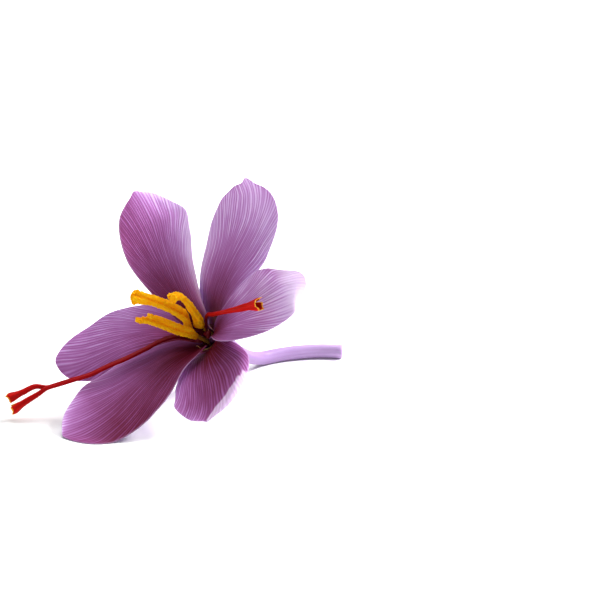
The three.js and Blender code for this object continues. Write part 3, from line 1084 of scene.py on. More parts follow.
    def _ruffle(self, s: Array, c: Array, half: Array, along: Array, n: Array) -> Array:
        """What is added to the plain blade: its ruffle, its puckers and the drawn-out tip.

        Args:
            s: shares of the length, as a column.
            c: shares of the half width.
            half: half the width, as a column.
            along: the midrib's directions.
            n: the directions into the bloom.

        Returns:
            A grid of vectors.
        """
        noise = Noise(self.seed)
        turn = self.WAVES * 2 * s + self.phase + self.WAVE_SHIFT * (c > 0)
        wave = np.sin(turn * np.pi) * np.abs(c) ** 3
        rise = self.wave * wave * smooth((s - 0.3) / 0.3) * smooth((1 - s) / 0.2)
        broad = noise.at(s * 9 + 3, c * 2.5 + 9) * (0.25 + np.abs(c) ** 2)
        fine = 0.25 * noise.at(s * 26, c * 5) * np.abs(c) ** 3
        rise = rise + self.PUCKER * (broad + fine) * smooth((s - 0.2) / 0.3) * smooth((1 - s) / 0.1)
        drawn = self.apex * smooth((s - self.APEX_START) / (1 - self.APEX_START))
        drawn = drawn * hill(half * c, self.APEX_WIDTH)
        return rise[..., None] * n[:, None] + drawn[..., None] * along[:, None]

    def _settled(self, points: Array) -> Array:
        """Eases points up to stay above the surface: floor + w ln(1 + e^(h / w)).

        Args:
            points: a grid of points, which is changed.

        Returns:
            The same grid.
        """
        floor = -HEADING.height + self.THICK_MARGIN / 2
        above = (points[..., 2] - floor) / self.SOFTNESS
        points[..., 2] = floor + self.SOFTNESS * np.logaddexp(0.0, above)
        return points

    def veins(self, s: Array, c: Array) -> tuple[Array, Array]:
        """The fan of veins.

        A vein keeps its share k of a fan that opens as u + q u^3 / (1 + hold u^3), with u the
        length over that of the widest place, so the outer veins turn out through the margins.
        Finer veins start between the main ones as the fan opens.

        Args:
            s: shares of the length, as a column.
            c: shares of the half width.

        Returns:
            The share k, and the relief from -1 between two veins to 1 on one.
        """
        base = self.shoulder / 2
        u = s / self.widest
        turn_out = np.where(c > 0, self.fan[1], self.fan[0])
        opened = u + turn_out * u**3 / (1 + self.FAN_HOLD * u**3)
        opened = base + (self.width / 2 - base) * opened
        k = c * self.half_width(s) / opened * (1 + turn_out) ** 1.3 / 1.7
        noise = Noise(self.seed + 50)
        k = k + self.VEIN_BENDS * noise.at(k * 2.5 + 11, s * 4)
        relief = np.zeros(k.shape)
        for fold, start, strength in ((1, -1.0, 1.0), (2, 0.15, 0.7)):
            line = k * self.VEINS * fold
            near = np.abs((line + 0.5) % 1.0 - 0.5)
            own = 0.7 + 0.3 * noise.at(np.floor(line + 0.5) * 1.7 + 40 * fold, s * 5)
            ridge = hill(near, self.VEIN_WIDTH) * own * strength
            relief = np.maximum(relief, ridge * smooth((s - start) / 0.3))
        return k, 2 * np.clip(relief, 0, 1) - 1

    def skin(self) -> Skin:
        """The blade's two faces, with its veins standing out and a rounded margin.

        Returns:
            The closed blade, with the fields that PetalFinish reads.
        """
        s, c = self.grid()
        points = self.middle(s, c)
        normal = unit(np.cross(np.gradient(points, axis=0), np.gradient(points, axis=1)))
        normal[-1] = normal[-2]
        held = np.maximum(s, 0.0)[:, None]
        half = self.half_width(held)
        inside = np.minimum((1 - np.abs(c)) * half, (1 - held) * self.length)
        edge = np.sqrt(np.clip(1 - (1 - np.clip(inside / self.EDGE, 0, 1)) ** 2, 0, 1))
        edge[0] = 0.0
        thick = mix(self.THICK_MARGIN, mix(self.THICK_RIB, self.THICK_MARGIN, held), 1 - c * c)
        k, relief = self.veins(held, c)
        depth = self.VEIN_DEPTH * np.clip(half / (self.width / 2), 0.25, 1)
        up = (thick / 2 + depth * relief * self.RELIEF_IN) * edge
        down = (thick / 2 + depth * relief * self.RELIEF_OUT) * edge
        near = 1 - np.clip(inside / self.NEAR_MARGIN, 0, 1)
        blade = triple(k + 20 * self.seed, held, self.tone.at(held, c))
        # painted highlight: near white past a line across the end, where strong light falls on a recurved
        # tip or margin
        light = np.zeros(k.shape)
        if self.pale:
            bends = self.HIGHLIGHT_BENDS * Noise(self.seed + 70).at(k * 20, held * 3)
            past = held + self.pale.slope * c - (self.pale.start + bends)
            light = self.pale.strength * smooth(past / self.pale.soft)
        return Skin.sheet(
            points + up[..., None] * normal,
            points - down[..., None] * normal,
            {"blade": blade, "skin": triple(light, near, 0.0)},
            {"blade": blade, "skin": triple(light, near, 1.0)},
        )


# The tone numbers also hold painted light and shade: the upper right and right blades, in the light, run
# lighter, the lower blades, in shade, darker.
TEPALS = (
    Tepal("upper_left", Whorl.INNER, at=36, length=38.5, width=17.5, shoulder=6.4, widest=0.58,
          blunt=2.5, point=0.54, lean=(23, 84, 78), sway=(0, 4, 12), twist=(2, 15, 46), cup=(46, 30, -2),
          skew=-0.02, apex=0.8, lip=-15, curl_right=5, curl_left=5, wave=0.25, phase=0.4, seed=1,
          tone=Tone((0, 0.3, 0.52, 0.56, 0.76), (-0.25, -0.4, -0.25), (0.6, 0.25, 0)),
          swells=(Swell(-1, 0.77, 0.09, 1.1), Swell(-1, 0.45, 0.15, -0.7), Swell(1, 0.38, 0.15, -0.4)),
          fan=(0.5, 1.5)),
    Tepal("upper_right", Whorl.OUTER, at=-16, length=38.5, width=18.5, shoulder=7.4, widest=0.62,
          blunt=2.3, point=0.48, lean=(35, 110, 44), sway=(0, -11, 12), twist=(2, 11, 19),
          cup=(30, 32, -14), skew=0, apex=1.8, lip=-15, curl_right=0, curl_left=-5, wave=0.25,
          phase=1.1, seed=2,
          tone=Tone((0, 0.36, 0.65, 0.86, 0.94), (0.45, -0.15, 0), (0.75, 0.3, -0.12)),
          swells=(Swell(1, 0.52, 0.16, -0.8), Swell(1, 0.9, 0.06, -0.4), Swell(-1, 0.58, 0.1, 0.5))),
    Tepal("right", Whorl.INNER, at=281, length=41, width=16, shoulder=4.6, widest=0.54,
          blunt=2.3, point=0.44, lean=(32, 86, 84), sway=(0, 21, 27), twist=(-3, -48, 49), cup=(46, 8, 20),
          skew=-0.06, apex=0.4, lip=70, curl_right=0, curl_left=-5, wave=0.3, phase=2.0, seed=3,
          tone=Tone((0, 0.16, 0.7, 0.9, 1), (0.1, 0.4, -0.3), (0.4, 0.0, -0.1)),
          swells=(Swell(-1, 0.22, 0.16, -2), Swell(1, 0.93, 0.045, -1)),
          # painted highlight on the recurved tip
          pale=PaintedHighlight(0.84, 0, 0.75, 0.1)),
    Tepal("lower_right", Whorl.OUTER, at=234, length=38, width=21.5, shoulder=6.6, widest=0.62,
          blunt=1.6, point=0.52, lean=(30, 90, 52), sway=(0, 26, -18), twist=(0, -21, 3), cup=(40, 14, 16),
          skew=0.06, apex=0.8, lip=0, curl_right=-60, curl_left=0, wave=0.3, phase=0.9, seed=4,
          tone=Tone((0, 0.08, 0.31, 0.36, 0.55), (-0.35, -0.15, 0.1), (0.33, 0.33, 0.3)),
          swells=(Swell(-1, 0.12, 0.1, 1.2), Swell(1, 0.77, 0.1, -0.8)),
          # painted highlight on the rolled right margin
          fan=(0.3, 0.3), pale=PaintedHighlight(0.9, 0.2, 0.62)),
    Tepal("lower_left", Whorl.INNER, at=181, length=44.4, width=21, shoulder=8, widest=0.58,
          blunt=2.4, point=0.5, lean=(21, 82, 42), sway=(0, 14, -30), twist=(1, -14, 1), cup=(54, 2, 20),
          skew=0.04, apex=0.4, lip=0, curl_right=-10, curl_left=-10, wave=0.25, phase=2.6, seed=5,
          tone=Tone((0, 0.18, 0.35, 0.35, 0.65), (-0.15, -0.25, -0.3), (0.3, 0.2, 0.05)),
          swells=(Swell(1, 0.18, 0.1, 1.8), Swell(-1, 0.68, 0.1, 0.8), Swell(1, 0.92, 0.06, 0.5)),
          fan=(1.2, 0.5)),
    Tepal("left", Whorl.OUTER, at=106, length=36.5, width=19, shoulder=8, widest=0.42,
          blunt=2.3, point=0.52, lean=(26, 104, 72), sway=(0, 32, 13), twist=(1, 16, -1), cup=(36, 4, -14),
          skew=0.02, apex=0.2, lip=-5, curl_right=-5, curl_left=-5, wave=0.25, phase=1.7, seed=6,
          tone=Tone((0, 0.36, 0.62, 0.66, 0.7), (-0.4, -0.2, -0.05), (0.3, -0.1, 0)),
          swells=(Swell(-1, 0.42, 0.1, -0.6),),
          fan=(1, 0.5)),
)


@dataclass(frozen=True)
class PerianthTube:
    """The slender tube behind the bloom, its funnel-shaped throat and its cut end."""

    node: str = "perianth_tube"
    rim_level: float = -0.5        # along the bloom's axis
    rim_inner: float = 2.2         # radii of the rim
    rim_outer: float = 4.3
    depth: float = 9.5             # of the throat
    floor: float = 1.5             # radius of the throat's floor
    radius: float = 1.7            # of the tube
    # its line in plan, where it comes down to the surface and lies on it
    run: tuple[tuple[float, float], ...] = ((12.5, 19.5), (17, 23), (22, 25), (27.5, 26), (33, 25.5))

    ROUND = 96
    ROWS = 420
    LIP = 0.55                     # how far the rounded lip rises between the claws
    RIBS = 6                       # faint ribs along the tube
    RIB_HEIGHT = 0.03              # as a share of the radius
    UNEVEN = 0.02                  # the same
    SEED = 90
    WALL = 0.5                     # the wall at the cut end
    RECESS = 1.2                   # how far the pith has drawn back there
    STYLE = 0.4                    # radius of the style in the cut end
    LANDING = 0.4                  # how far the first point of the run is above the others

    def route(self) -> Route:
        """The tube's own line: back along the axis, then down to the surface and along it.

        Returns:
            The line, from the rim.
        """
        low = -HEADING.height + self.radius
        axis = [HEADING.place(level, 0, 0.0) for level in (self.rim_level, -5, -10, -12.5)]
        plan = [np.array([x, y, low]) for x, y in self.run]
        plan[0][2] += self.LANDING
        return Route(np.array(axis + plan))

    def profile(self, end: float) -> Route:
        """The wall's section, from the throat's floor over the rim to the cut end.

        Args:
            end: the tube's length.

        Returns:
            A curve of the distance behind the rim, the radius, and 1 inside the throat.
        """
        funnel = self.depth + 4
        wall = self.radius - self.WALL
        return Route(np.array([
            (self.depth + 0.1, 0.15, 1), (self.depth, 1.1, 1), (self.depth - 0.5, self.floor, 1),
            (6, 1.62, 1), (3, 1.85, 1), (1.2, 2.05, 1), (0.2, self.rim_inner, 1),
            (-self.LIP, 2.9, 1), (-self.LIP, 3.5, 0.95), (0, self.rim_outer - 0.1, 0.7),
            (1.5, self.rim_outer - 0.1, 0.3), (4, 3.75, 0), (8, 2.6, 0), (11, 2.05, 0), (funnel, 1.85, 0),
            (funnel + 4, self.radius, 0), (end / 2, self.radius, 0), (end - 2, self.radius, 0),
            (end - 0.15, self.radius, 0), (end, self.radius - 0.15, 0), (end, wall + 0.1, 0),
            (end - self.RECESS, wall - 0.1, 0), (end - self.RECESS, self.STYLE + 0.15, 0),
            (end - 0.3, self.STYLE, 0), (end - 0.15, self.STYLE - 0.12, 0), (end - 0.13, 0.05, 0),
        ], float))

    def skin(self) -> Skin:
        """A round section carried along the route, with faint ribs.

        Returns:
            The tube, with the field that StalkFinish reads.
        """
        route = self.route()
        section = self.profile(route.length)
        mm, radius, inner = section.at(np.linspace(0, section.length, self.ROWS)).T
        angle = turns(self.ROUND)
        outside = (smooth(mm / 3) * smooth((route.length - mm) / 1.5) * (1 - inner))[:, None]
        ribs = self.RIB_HEIGHT * np.cos(self.RIBS * angle) * outside
        uneven = self.UNEVEN * Noise(self.SEED).at(mm[:, None] / 4, np.cos(angle) + 5) * outside
        grid = route.carry(mm, radius[:, None] * (1 + ribs + uneven))
        line = np.abs(np.cos(self.RIBS * angle)) ** 6
        share = np.clip(mm / route.length, 0, 1)
        return Skin.rings(grid, {"stalk": triple(share[:, None], line, inner[:, None])})


@dataclass(frozen=True)
class Stamen:
    """A filament and its anther, two pollen sacs side by side.

    `roll` turns the anther's broad side, in degrees, from level toward upright.
    """

    name: str
    at: float                      # its place round the axis
    width: float                   # of the anther
    tip: float                     # the sacs' size at the tip, as a share
    roll: float
    path: tuple[Triple, ...]       # the anther's line
    seed: int
    knob: float = 0.0              # how far the tip is swollen and turned over
    split: float = 0.0             # how far one sac stops short of the other, as a share
    crumbs: int = 12               # lumps of pollen at the tip
    root: float = 0.6              # the sacs' size where they start, as a share

    ROOT = (-4.0, 1.15)            # level and distance from the axis where the filament starts
    WAIST = (0.0, 1.45)
    TOP = (3.9, 1.6)
    LEVEL = 4.5                    # where the anther starts
    OUT = 1.6                      # and how far off the axis
    THICK = 1.6                    # the anther's, across its broad side
    RADIUS = 0.4                   # the filament's
    SUNK = 1.0                     # how far the filament reaches into the anther
    FOLD = 0.5                     # depth of the fold between the sacs, as a share
    SLIT = 0.14                    # depth of the slit along each sac
    LUMPS = (0.09, 0.07)           # height of the larger and the smaller lumps of pollen
    ROWS = 230
    ROUND = 72
    GRAINS = 1500                  # single grains of pollen on an anther
    GRAIN_SIZES = (0.05, 0.13)     # radii
    CRUMB_SIZES = (0.22, 0.42)

    def filament(self) -> Skin:
        """A thin stalk from the throat to the anther, sunk a little into both.

        Returns:
            The filament, with the field that StalkFinish reads.
        """
        route = Route(np.array([HEADING.place(*x, self.at) for x in (self.ROOT, self.WAIST, self.TOP)]))
        s = np.linspace(0, 1, 50)
        radius = self.RADIUS * (1.05 - 0.15 * s) * dome(s, 0.01, 0.1)
        return Skin.stalk(route, s * (route.length + self.SUNK), radius[:, None] * np.ones(24))

    def anther(self) -> Skin:
        """The anther.

        Its section is an ellipse with a deep fold between the two sacs, on both faces, and a
        slit along each flank, where the sacs have opened. Noise of two sizes makes the pollen,
        and single grains stand out of it.

        Returns:
            The anther, with the field that AntherFinish reads.
        """
        start = HEADING.place(self.LEVEL, self.OUT, self.at)
        route = Route(np.vstack([start, self.path]))
        s = np.linspace(0, 1, self.ROWS)[:, None]
        angle = turns(self.ROUND)[None, :]
        noise = Noise(self.seed)
        turn = angle + 0.5 * self.knob * smooth((s - 0.7) / 0.3) + 0.1 * noise.at(s * 5, s * 0)
        root = mix(self.root, 1.0, smooth(s / 0.3))
        tip = mix(1.0, self.tip, smooth((s - 0.75) / 0.2))
        close = dome(1 - s, 0.03) * dome(s, 0.02, 0.05)
        size = root * tip * close * (1 + 0.05 * noise.at(s * 14, np.cos(angle) + 3))
        fold = 1 - self.FOLD * smooth(s / 0.3) * hill(np.cos(turn), 0.3)
        slit = 1 - self.SLIT * smooth(s / 0.25) * hill(np.sin(turn), 0.24)
        x = self.width / 2 * np.cos(angle) * size * slit
        y = self.THICK / 2 * np.sin(angle) * size * fold
        short = 1 - self.split * smooth(0.5 + 1.2 * np.cos(angle))
        ragged = 1 + 0.012 * noise.at(np.cos(angle) * 4 + 9, np.sin(angle) * 4 + 9)
        mm = s * route.length * short * ragged
        grid = route.at(mm) + route.beside(mm, x, y, self.roll)
        out = unit(route.beside(mm, x * self.THICK, y * self.width, self.roll))
        px, py = s * route.length * 3.6, angle * 3.2
        large, small = self.LUMPS
        lumps = large * noise.at(px, np.cos(angle) * 5 + 20) + small * noise.at(px * 2.1, py * 2.2)
        grid = grid + (lumps * smooth(s / 0.12) * close)[..., None] * out
        # painted shade: darker in the fold between the sacs, in the slits and between the lumps, lighter
        # on the lumps
        shade = np.clip(1.2 - 2.4 * (2 - fold - slit), 0, 1) + lumps * 2
        body = Skin.rings(grid, {"sac": triple(s, shade, 0.0)})
        return body.joined(self._grains(grid, out, s))

    def _grains(self, grid: Array, out: Array, s: Array) -> Skin:
        """Single pollen grains, sunk by half into the surface at seeded random places.

        The last of them are larger crumbs, where the sacs have opened at the tip.

        Args:
            grid: the anther's points.
            out: the directions out of it.
            s: the shares of its length, as a column.

        Returns:
            The grains.
        """
        draw = np.random.default_rng(self.seed)
        count = self.GRAINS + self.crumbs
        single = np.arange(count) < self.GRAINS
        near_tip = draw.integers(int(0.93 * self.ROWS), self.ROWS - 3, count)
        i = np.where(single, draw.integers(int(0.12 * self.ROWS), self.ROWS - 2, count), near_tip)
        j = draw.integers(0, self.ROUND, count)
        fine = draw.uniform(*self.GRAIN_SIZES, count)
        radii = np.where(single, fine, draw.uniform(*self.CRUMB_SIZES, count))
        centres = grid[i, j] + out[i, j] * (radii * draw.uniform(-0.2, 0.5, count))[:, None]
        tone = draw.uniform(0.3, 1.0, count)
        return Skin.grains(centres, radii, {"sac": triple(s[i, 0], tone, draw.uniform(0, 1, count))})


STAMENS = (
    Stamen("left", at=106, width=2.7, tip=1.15, roll=75, seed=21, knob=1.0, root=1.15, path=(
        (-4.5, -4, 4.9), (-5.1, -5.4, 7.4), (-7.8, -7, 9.8), (-11, -8.5, 11.8), (-14.5, -9.5, 13.1),
        (-17.3, -10, 13.6))),
    Stamen("upper", at=344, width=2.5, tip=1.1, roll=10, seed=22, knob=0.8, root=1.1, path=(
        (-1.9, -4.9, 6.5), (-3.1, -7, 9.5), (-4.4, -8.5, 12), (-6.1, -10, 13.9), (-8.1, -11.5, 13.4))),
    Stamen("lower", at=234, width=2.7, tip=0.95, roll=85, seed=23, split=0.16, path=(
        (-4.2, -6, 3.4), (-7, -6.9, 4.7), (-10, -7.7, 6.3), (-13.5, -9, 7.9), (-16.2, -10, 8.7))),
)


@dataclass(frozen=True)
class Style:
    """The pale stalk in the throat that carries the three stigmas."""

    at: float = 288.0              # the side to which it leans
    radius: float = 0.4
    top: float = 0.95              # its radius at the top
    # its line, as levels and distances from the axis
    levels: tuple[tuple[float, float], ...] = ((-9.7, 0), (-5, 0.05), (-1, 0.7), (3, 2.3))

    LOBES = 0.16                   # how far the lobes stand out, as a share

    def skin(self) -> Skin:
        """A round stalk that swells and divides into three low lobes at its top.

        Returns:
            The style, with the field that StalkFinish reads.
        """
        route = Route(np.array([HEADING.place(level, out, self.at) for level, out in self.levels]))
        s = np.linspace(0, 1, 90)
        close = dome(1 - s, 0.04) * dome(s, 0.02, 0.05)
        swell = mix(self.radius, self.top, smooth((s - 0.72) / 0.28)) * close
        lobes = 1 + self.LOBES * np.cos(3 * turns(36)) * smooth((s - 0.75) / 0.2)[:, None]
        return Skin.stalk(route, s * route.length, swell[:, None] * lobes)


@dataclass(frozen=True)
class Tooth:
    """A tooth on a stigma's mouth."""

    angle: float                   # its place round the mouth
    reach: float                   # how far it stands out
    spread: float                  # half its width, in radians


@dataclass(frozen=True)
class Stigma:
    """A red thread that widens to a trumpet with a toothed, slit mouth.

    `root` and `through` are levels, distances from the axis and places round it.
    """

    name: str
    root: Triple
    through: tuple[Triple, ...]
    apart: float                   # -1 or 1 beside the pair's common run, 0 off it
    path: tuple[Triple, ...]       # the rest of its line
    width: float                   # of the mouth
    teeth: tuple[Tooth, ...]
    slit: float                    # where round the mouth the trumpet is split
    seed: int
    thread: float = 0.44           # radius of the thread from REACH mm on
    stout: float = 0.8             # half its height just behind the mouth

    THIN = 0.32                    # radius of the thread in the throat
    REACH = 12.0                   # how far from its root the thread thickens
    WALL = 0.13                    # thickness of the trumpet's wall
    DEPTH = 3.2                    # how far the mouth reaches into the trumpet
    SPLIT = 1.5                    # how far the slit runs back from the rim
    SPLIT_WIDTH = 0.22             # radians
    RAGGED = 0.16                  # how uneven the rim is
    MOUTH = 0.9                    # over this stretch the mouth's colour sets in
    BROAD = 13.0                   # over this last stretch the thread broadens
    FLARE = 3.0                    # and over this one it opens to its mouth
    HALF = 0.95                    # half its width behind the mouth
    GROOVE = 0.05                  # depth of the grooves, as a share
    ROWS = 260
    INNER_ROWS = 40
    ROUND = 64
    PAIR_APART = (0, -0.6, 0.05)   # from the common run to the thread at 1
    PAIR_RUN = (
        (-8, -4.3, 1.7), (-11, -6, 1.2), (-14, -8.3, 0.2), (-18.2, -10.8, -1.2), (-22.8, -13.2, -2.5),
        (-27, -15, -4), (-31.3, -15.8, -5.1), (-34.6, -16, -6.1), (-37, -16.2, -6.8),
    )

    def route(self) -> Route:
        """The thread's line: out of the throat, along the pair's common run, to its mouth.

        Returns:
            The line.
        """
        points = [HEADING.place(*x) for x in (self.root, *self.through)]
        if self.apart:
            points += [np.add(x, self.apart * np.array(self.PAIR_APART)) for x in self.PAIR_RUN]
        return Route(np.array(points + [np.array(x, float) for x in self.path]))

    def _half(self, mm: Array, left: Array) -> tuple[Array, Array]:
        """Half the width and height of the thread.

        Args:
            mm: distances from its root.
            left: distances to its mouth.

        Returns:
            The two halves.
        """
        thread = mix(self.THIN, self.thread, smooth(mm / self.REACH))
        broad = smooth(1 - left / self.BROAD)
        flare = smooth(1 - left / self.FLARE)
        u = mix(thread, self.HALF, broad) + flare * (self.width / 2 - self.HALF)
        v = mix(thread, self.stout, broad) + flare * (self.width / 2 - 0.2 - self.stout)
        return u, v

    def skin(self) -> Skin:
        """The thread's outside, turned in at a toothed rim and back down the trumpet's inside.

        The radius is the half width at that distance from the mouth. Shallow grooves run
        lengthwise, and a tooth or the slit moves the rim out or back along the thread.

        Returns:
            The thread, with the field that ThreadFinish reads.
        """
        route = self.route()
        noise = Noise(self.seed)
        angle = turns(self.ROUND)[None, :]
        rim = self.RAGGED * noise.at(np.cos(angle) * 5 + 9, np.sin(angle) * 5 + 9)
        for tooth in self.teeth:
            rim = rim + tooth.reach * around(angle, tooth.angle, tooth.spread)
        rim = rim - self.SPLIT * around(angle, self.slit, self.SPLIT_WIDTH)
        out = np.linspace(0, 1, self.ROWS)[:, None]
        back = np.linspace(0, 1, self.INNER_ROWS)[1:, None]
        span = route.length + rim * smooth((out - 0.8) / 0.2)
        mm = np.concatenate([out * span, route.length + rim - back * (self.DEPTH + rim)])
        inner = np.concatenate([0 * out, smooth(back / 0.04)]) + 0 * angle
        left = np.clip(route.length - mm, 0, None)
        u_half, v_half = self._half(mm, left)
        grooves = np.cos(5 * angle + 2.5 * noise.at(mm / 6, mm * 0)) + noise.at(mm / 2.5, angle * 2)
        grooves = self.GROOVE * grooves
        close = dome(mm, 0.4, 0.02) * np.concatenate([0 * out + 1, dome(1 - back, 0.25)])
        inset = self.WALL * inner
        x = (u_half * (1 + grooves) - inset) * close * np.cos(angle)
        y = (v_half * (1 + grooves) - inset) * close * np.sin(angle)
        grid = route.at(mm) + route.beside(mm, x, y)
        to_rim = np.clip(1 - (route.length + rim - mm) / self.MOUTH, 0, 1)
        # painted shade: lower in the grooves and halved inside the trumpet, so the finish darkens those
        # places
        unshaded = np.clip(0.5 + 10 * grooves, 0, 1) * (1 - 0.5 * inner)
        return Skin.rings(grid, {"thread": triple(mm / route.length, to_rim, unshaded)})


STIGMAS = (
    Stigma("right", root=(4, 3.05, 292), through=(), apart=0, width=3.3, seed=31, slit=160,
           thread=0.5, stout=0.95,
           path=((0.3, -6.8, 7.8), (2.1, -11.8, 9.9), (4.3, -16.8, 12), (7, -21, 14), (10, -24, 15.7),
                 (13.1, -25.6, 16.9)),
           teeth=(Tooth(95, 1.3, 0.3), Tooth(260, 0.6, 0.45), Tooth(330, 0.5, 0.3))),
    Stigma("upper", root=(4, 2.05, 274), through=((4.2, 0.5, 270), (4.2, 1, 168), (4.3, 2, 154)),
           apart=-1, width=2.8, seed=32, slit=20,
           path=((-39.8, -15.3, -6.8), (-42.6, -15.8, -8), (-45.9, -15.9, -9.5)),
           teeth=(Tooth(120, 0.5, 0.4), Tooth(250, 0.6, 0.4))),
    Stigma("lower", root=(4, 2.05, 308), through=((5.5, 0.5, 295), (5.6, 0.95, 165), (5.9, 1.9, 156)),
           apart=1, width=2.6, seed=33, slit=80,
           path=((-38.9, -17.1, -8), (-41.5, -17.8, -9.4), (-44.8, -18.4, -11.5)),
           teeth=(Tooth(0, 0.4, 0.4), Tooth(200, 0.5, 0.35))),
)


@dataclass(frozen=True)
class Hair:
    """A fine loose hair in the throat, with one end in a claw. It is in the scene alone."""

    name: str
    path: tuple[Triple, ...]
    radius: float = 0.1

    def skin(self) -> Skin:
        """A round hair that thins to its free end.

        Returns:
            The hair, with the field that StalkFinish reads.
        """
        route = Route(np.array(self.path, float))
        s = np.linspace(0, 1, 70)
        radius = self.radius * (1 - 0.5 * s) * dome(1 - s, 0.02, 0.05)
        return Skin.stalk(route, s * route.length, radius[:, None] * np.ones(8))


HAIRS = (
    Hair("hair_long", ((0.3, 0.9, 3.4), (0.7, -0.6, 3.2), (1.9, -1.2, 1.9), (2.7, -2.3, 0.5),
                       (1.7, -3.6, -0.8), (-0.3, -3.7, -1.7), (-1.5, -3.2, -2.2))),
    Hair("hair_inner", ((0.2, 0.6, 2.2), (0.6, -0.9, 2.0), (1.5, -1.6, 1.0), (2.2, -2.4, 0.1),
                        (2.4, -3.2, -0.5))),
    Hair("hair_low", ((-2.6, -0.9, -1.9), (-2.2, -2.6, -1.1), (-1, -3.6, -1.5), (0.6, -3.8, -1.3),
                      (1.3, -3.7, -0.7)), 0.08),
)


class Bloom:
    """The whole flower."""

    def __init__(self) -> None:
        """Finds the throat in the frame and makes the finishes."""
        self.tube = PerianthTube()
        self.studio = Studio(self._throat())
        self.petal = PetalFinish().material()
        self.anther = AntherFinish().material()
        self.filament = StalkFinish((
            (0.0, "#8e5a70"), (0.5, "#b98a3a"), (1.0, "#c48a22"),
        )).material("filament")
        self.style = StalkFinish((
            (0.0, "#d8b090"), (0.5, "#8e2a20"), (1.0, "#6e0c18"),
        )).material("style")
        self.stalk = StalkFinish((
            (0.0, "#745684"), (0.15, "#866898"), (0.5, "#9074a2"), (1.0, "#a68eb6"),
        )).material("tube")
        self.thread = ThreadFinish((
            (0.0, "#3c0410"), (0.14, "#520612"), (0.2, "#860406"), (0.32, "#b20604"), (1.0, "#c01206"),
        )).material("stigma")
        # painted shade: the pair of threads takes a darker copy of the right thread's colours, for the
        # shade that it lies in
        self.pair = ThreadFinish((
            (0.0, "#3c0410"), (0.2, "#660410"), (0.4, "#8a040e"), (0.75, "#a0040a"), (1.0, "#b80c08"),
        )).material("stigma_pair")
        self.hair = StalkFinish((
            (0.0, "#d898a8"), (0.5, "#d0a060"), (1.0, "#b89030"),
        )).material("hair")

    def _throat(self) -> Array:
        """The throat's centre in the frame, in metres.

        The rim is a circle square to the axis, so along each direction it reaches its radius
        times sqrt(1 - a^2) past its own centre, where a is the axis's share of that direction.

        Returns:
            The point.
        """
        low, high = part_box(self.tube.node)
        reach = self.tube.rim_outer * np.sqrt(1 - HEADING.axis**2) * np.array([-1, -1, 1])
        corner = np.array([low.x, low.y, high.z])
        return corner - (self.tube.rim_level * HEADING.axis + reach) * MM

    def build(self) -> None:
        """Makes every piece in order."""
        add = self.studio.add
        for tepal in TEPALS:
            name = tepal.name
            add("petal_" + name, tepal.skin(), self.petal, "tepal", "tepal_" + name)
        add("tube", self.tube.skin(), self.stalk, "tube", self.tube.node)
        for stamen in STAMENS:
            name = stamen.name
            add("stalk_" + name, stamen.filament(), self.filament, "filament", "filament_" + name)
            add("pollen_" + name, stamen.anther(), self.anther, "anther", "anther_" + name)
        add("style_stalk", Style().skin(), self.style, "style", "style")
        for stigma in STIGMAS:
            # the pair of threads takes its darker copy, painted shade
            name, finish = stigma.name, self.pair if stigma.apart else self.thread
            add("thread_" + name, stigma.skin(), finish, "stigma", "stigma_" + name)
        for hair in HAIRS:
            add(hair.name, hair.skin(), self.hair, "filament")


# ---- the set ------------------------------------------------------------------------------------
@dataclass(frozen=True)
class Camera:
    """The photograph's view: its height over the horizon, its lens, and where the throat shows."""

    elevation: float = 18.0
    lens: float = 135.0
    sensor: float = 36.0
    distance: float = 0.54         # metres from the throat, along the view
    image: float = 600.0
    throat_x: float = 207.0        # the throat's pixel in the photograph
    throat_y: float = 338.0

    def build(self, throat: Array) -> None:
        """Places the camera so that the throat shows at its pixel.

        Args:
            throat: the throat's centre, in metres.
        """
        rise = math.radians(self.elevation)
        right = np.array([1.0, 0.0, 0.0])
        up = np.array([0.0, math.sin(rise), math.cos(rise)])
        back = np.array([0.0, -math.cos(rise), math.sin(rise)])
        per_pixel = self.distance * self.sensor / (self.lens * self.image)
        shift = (self.image / 2 - self.throat_x) * right + (self.throat_y - self.image / 2) * up
        data = bpy.data.cameras.new("camera")
        data.lens, data.sensor_width = self.lens, self.sensor
        camera = bpy.data.objects.new("camera", data)
        camera.location = Vector(throat + self.distance * back + per_pixel * shift)
        camera.rotation_euler = (math.pi / 2 - rise, 0.0, 0.0)
        bpy.context.scene.collection.objects.link(camera)
        bpy.context.scene.camera = camera


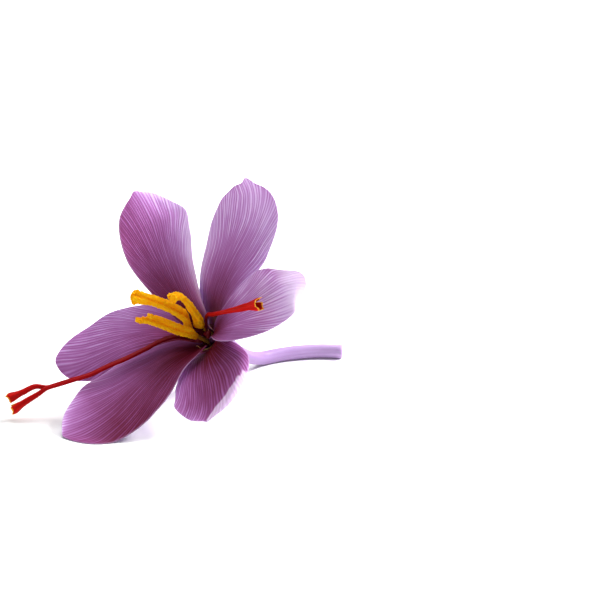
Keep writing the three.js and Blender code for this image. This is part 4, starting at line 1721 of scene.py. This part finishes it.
@dataclass(frozen=True)
class Lamp:
    """A soft square studio lamp."""

    name: str
    place: Triple                  # metres in the frame
    size: float
    power: float

    def build(self, target: Array) -> None:
        """Hangs the lamp and turns it to the flower.

        Args:
            target: the point that it shines on.
        """
        data = bpy.data.lights.new(self.name, "AREA")
        data.size, data.energy = self.size, self.power
        lamp = bpy.data.objects.new(self.name, data)
        lamp.location = Vector(self.place)
        aim = Vector(target) - lamp.location
        lamp.rotation_euler = aim.to_track_quat("-Z", "Y").to_euler()
        bpy.context.scene.collection.objects.link(lamp)


@dataclass(frozen=True)
class Stage:
    """The plain pale floor, the lamps and the even light of the room."""

    room: float = 0.5              # strength of the room's light
    reach: float = 3000.0          # from the middle of the floor to its sides
    lamps: tuple[Lamp, ...] = (
        Lamp("key", (0.45, 0.15, 0.4), 0.25, 8.0),
        Lamp("top", (0.0, 0.25, 0.6), 0.4, 3.0),
    )

    def build(self, throat: Array) -> None:
        """Lays the floor and lights it.

        Args:
            throat: the point that the lamps shine on.
        """
        scene = bpy.context.scene
        x, y = np.meshgrid([-self.reach, self.reach], [-self.reach, self.reach])
        floor_skin = Skin(triple(x, y, 0.0).reshape(-1, 3), [np.array([[0, 1, 3, 2]])], {})
        floor = bpy.data.objects.new("floor", floor_skin.mesh("floor", np.zeros(3)))
        floor.data.materials.append(FloorFinish().material())
        scene.collection.objects.link(floor)
        world = bpy.data.worlds.new("room")
        world.use_nodes = True
        light = world.node_tree.nodes["Background"].inputs
        light["Color"].default_value = (1.0, 1.0, 1.0, 1.0)
        light["Strength"].default_value = self.room
        scene.world = world
        scene.view_settings.view_transform = "Standard"
        for lamp in self.lamps:
            lamp.build(throat)


def corners(box: tuple[Vector, Vector]) -> list[list[float]]:
    """A box's two corners as plain lists."""
    return [list(corner) for corner in box]


def main() -> None:
    """Loads the frame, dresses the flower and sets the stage."""
    logging.basicConfig(level=logging.INFO, format="%(name)s: %(message)s")
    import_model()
    bloom = Bloom()
    bloom.build()
    Stage().build(bloom.studio.throat)
    Camera().build(bloom.studio.throat)


if __name__ == "__main__":
    main()
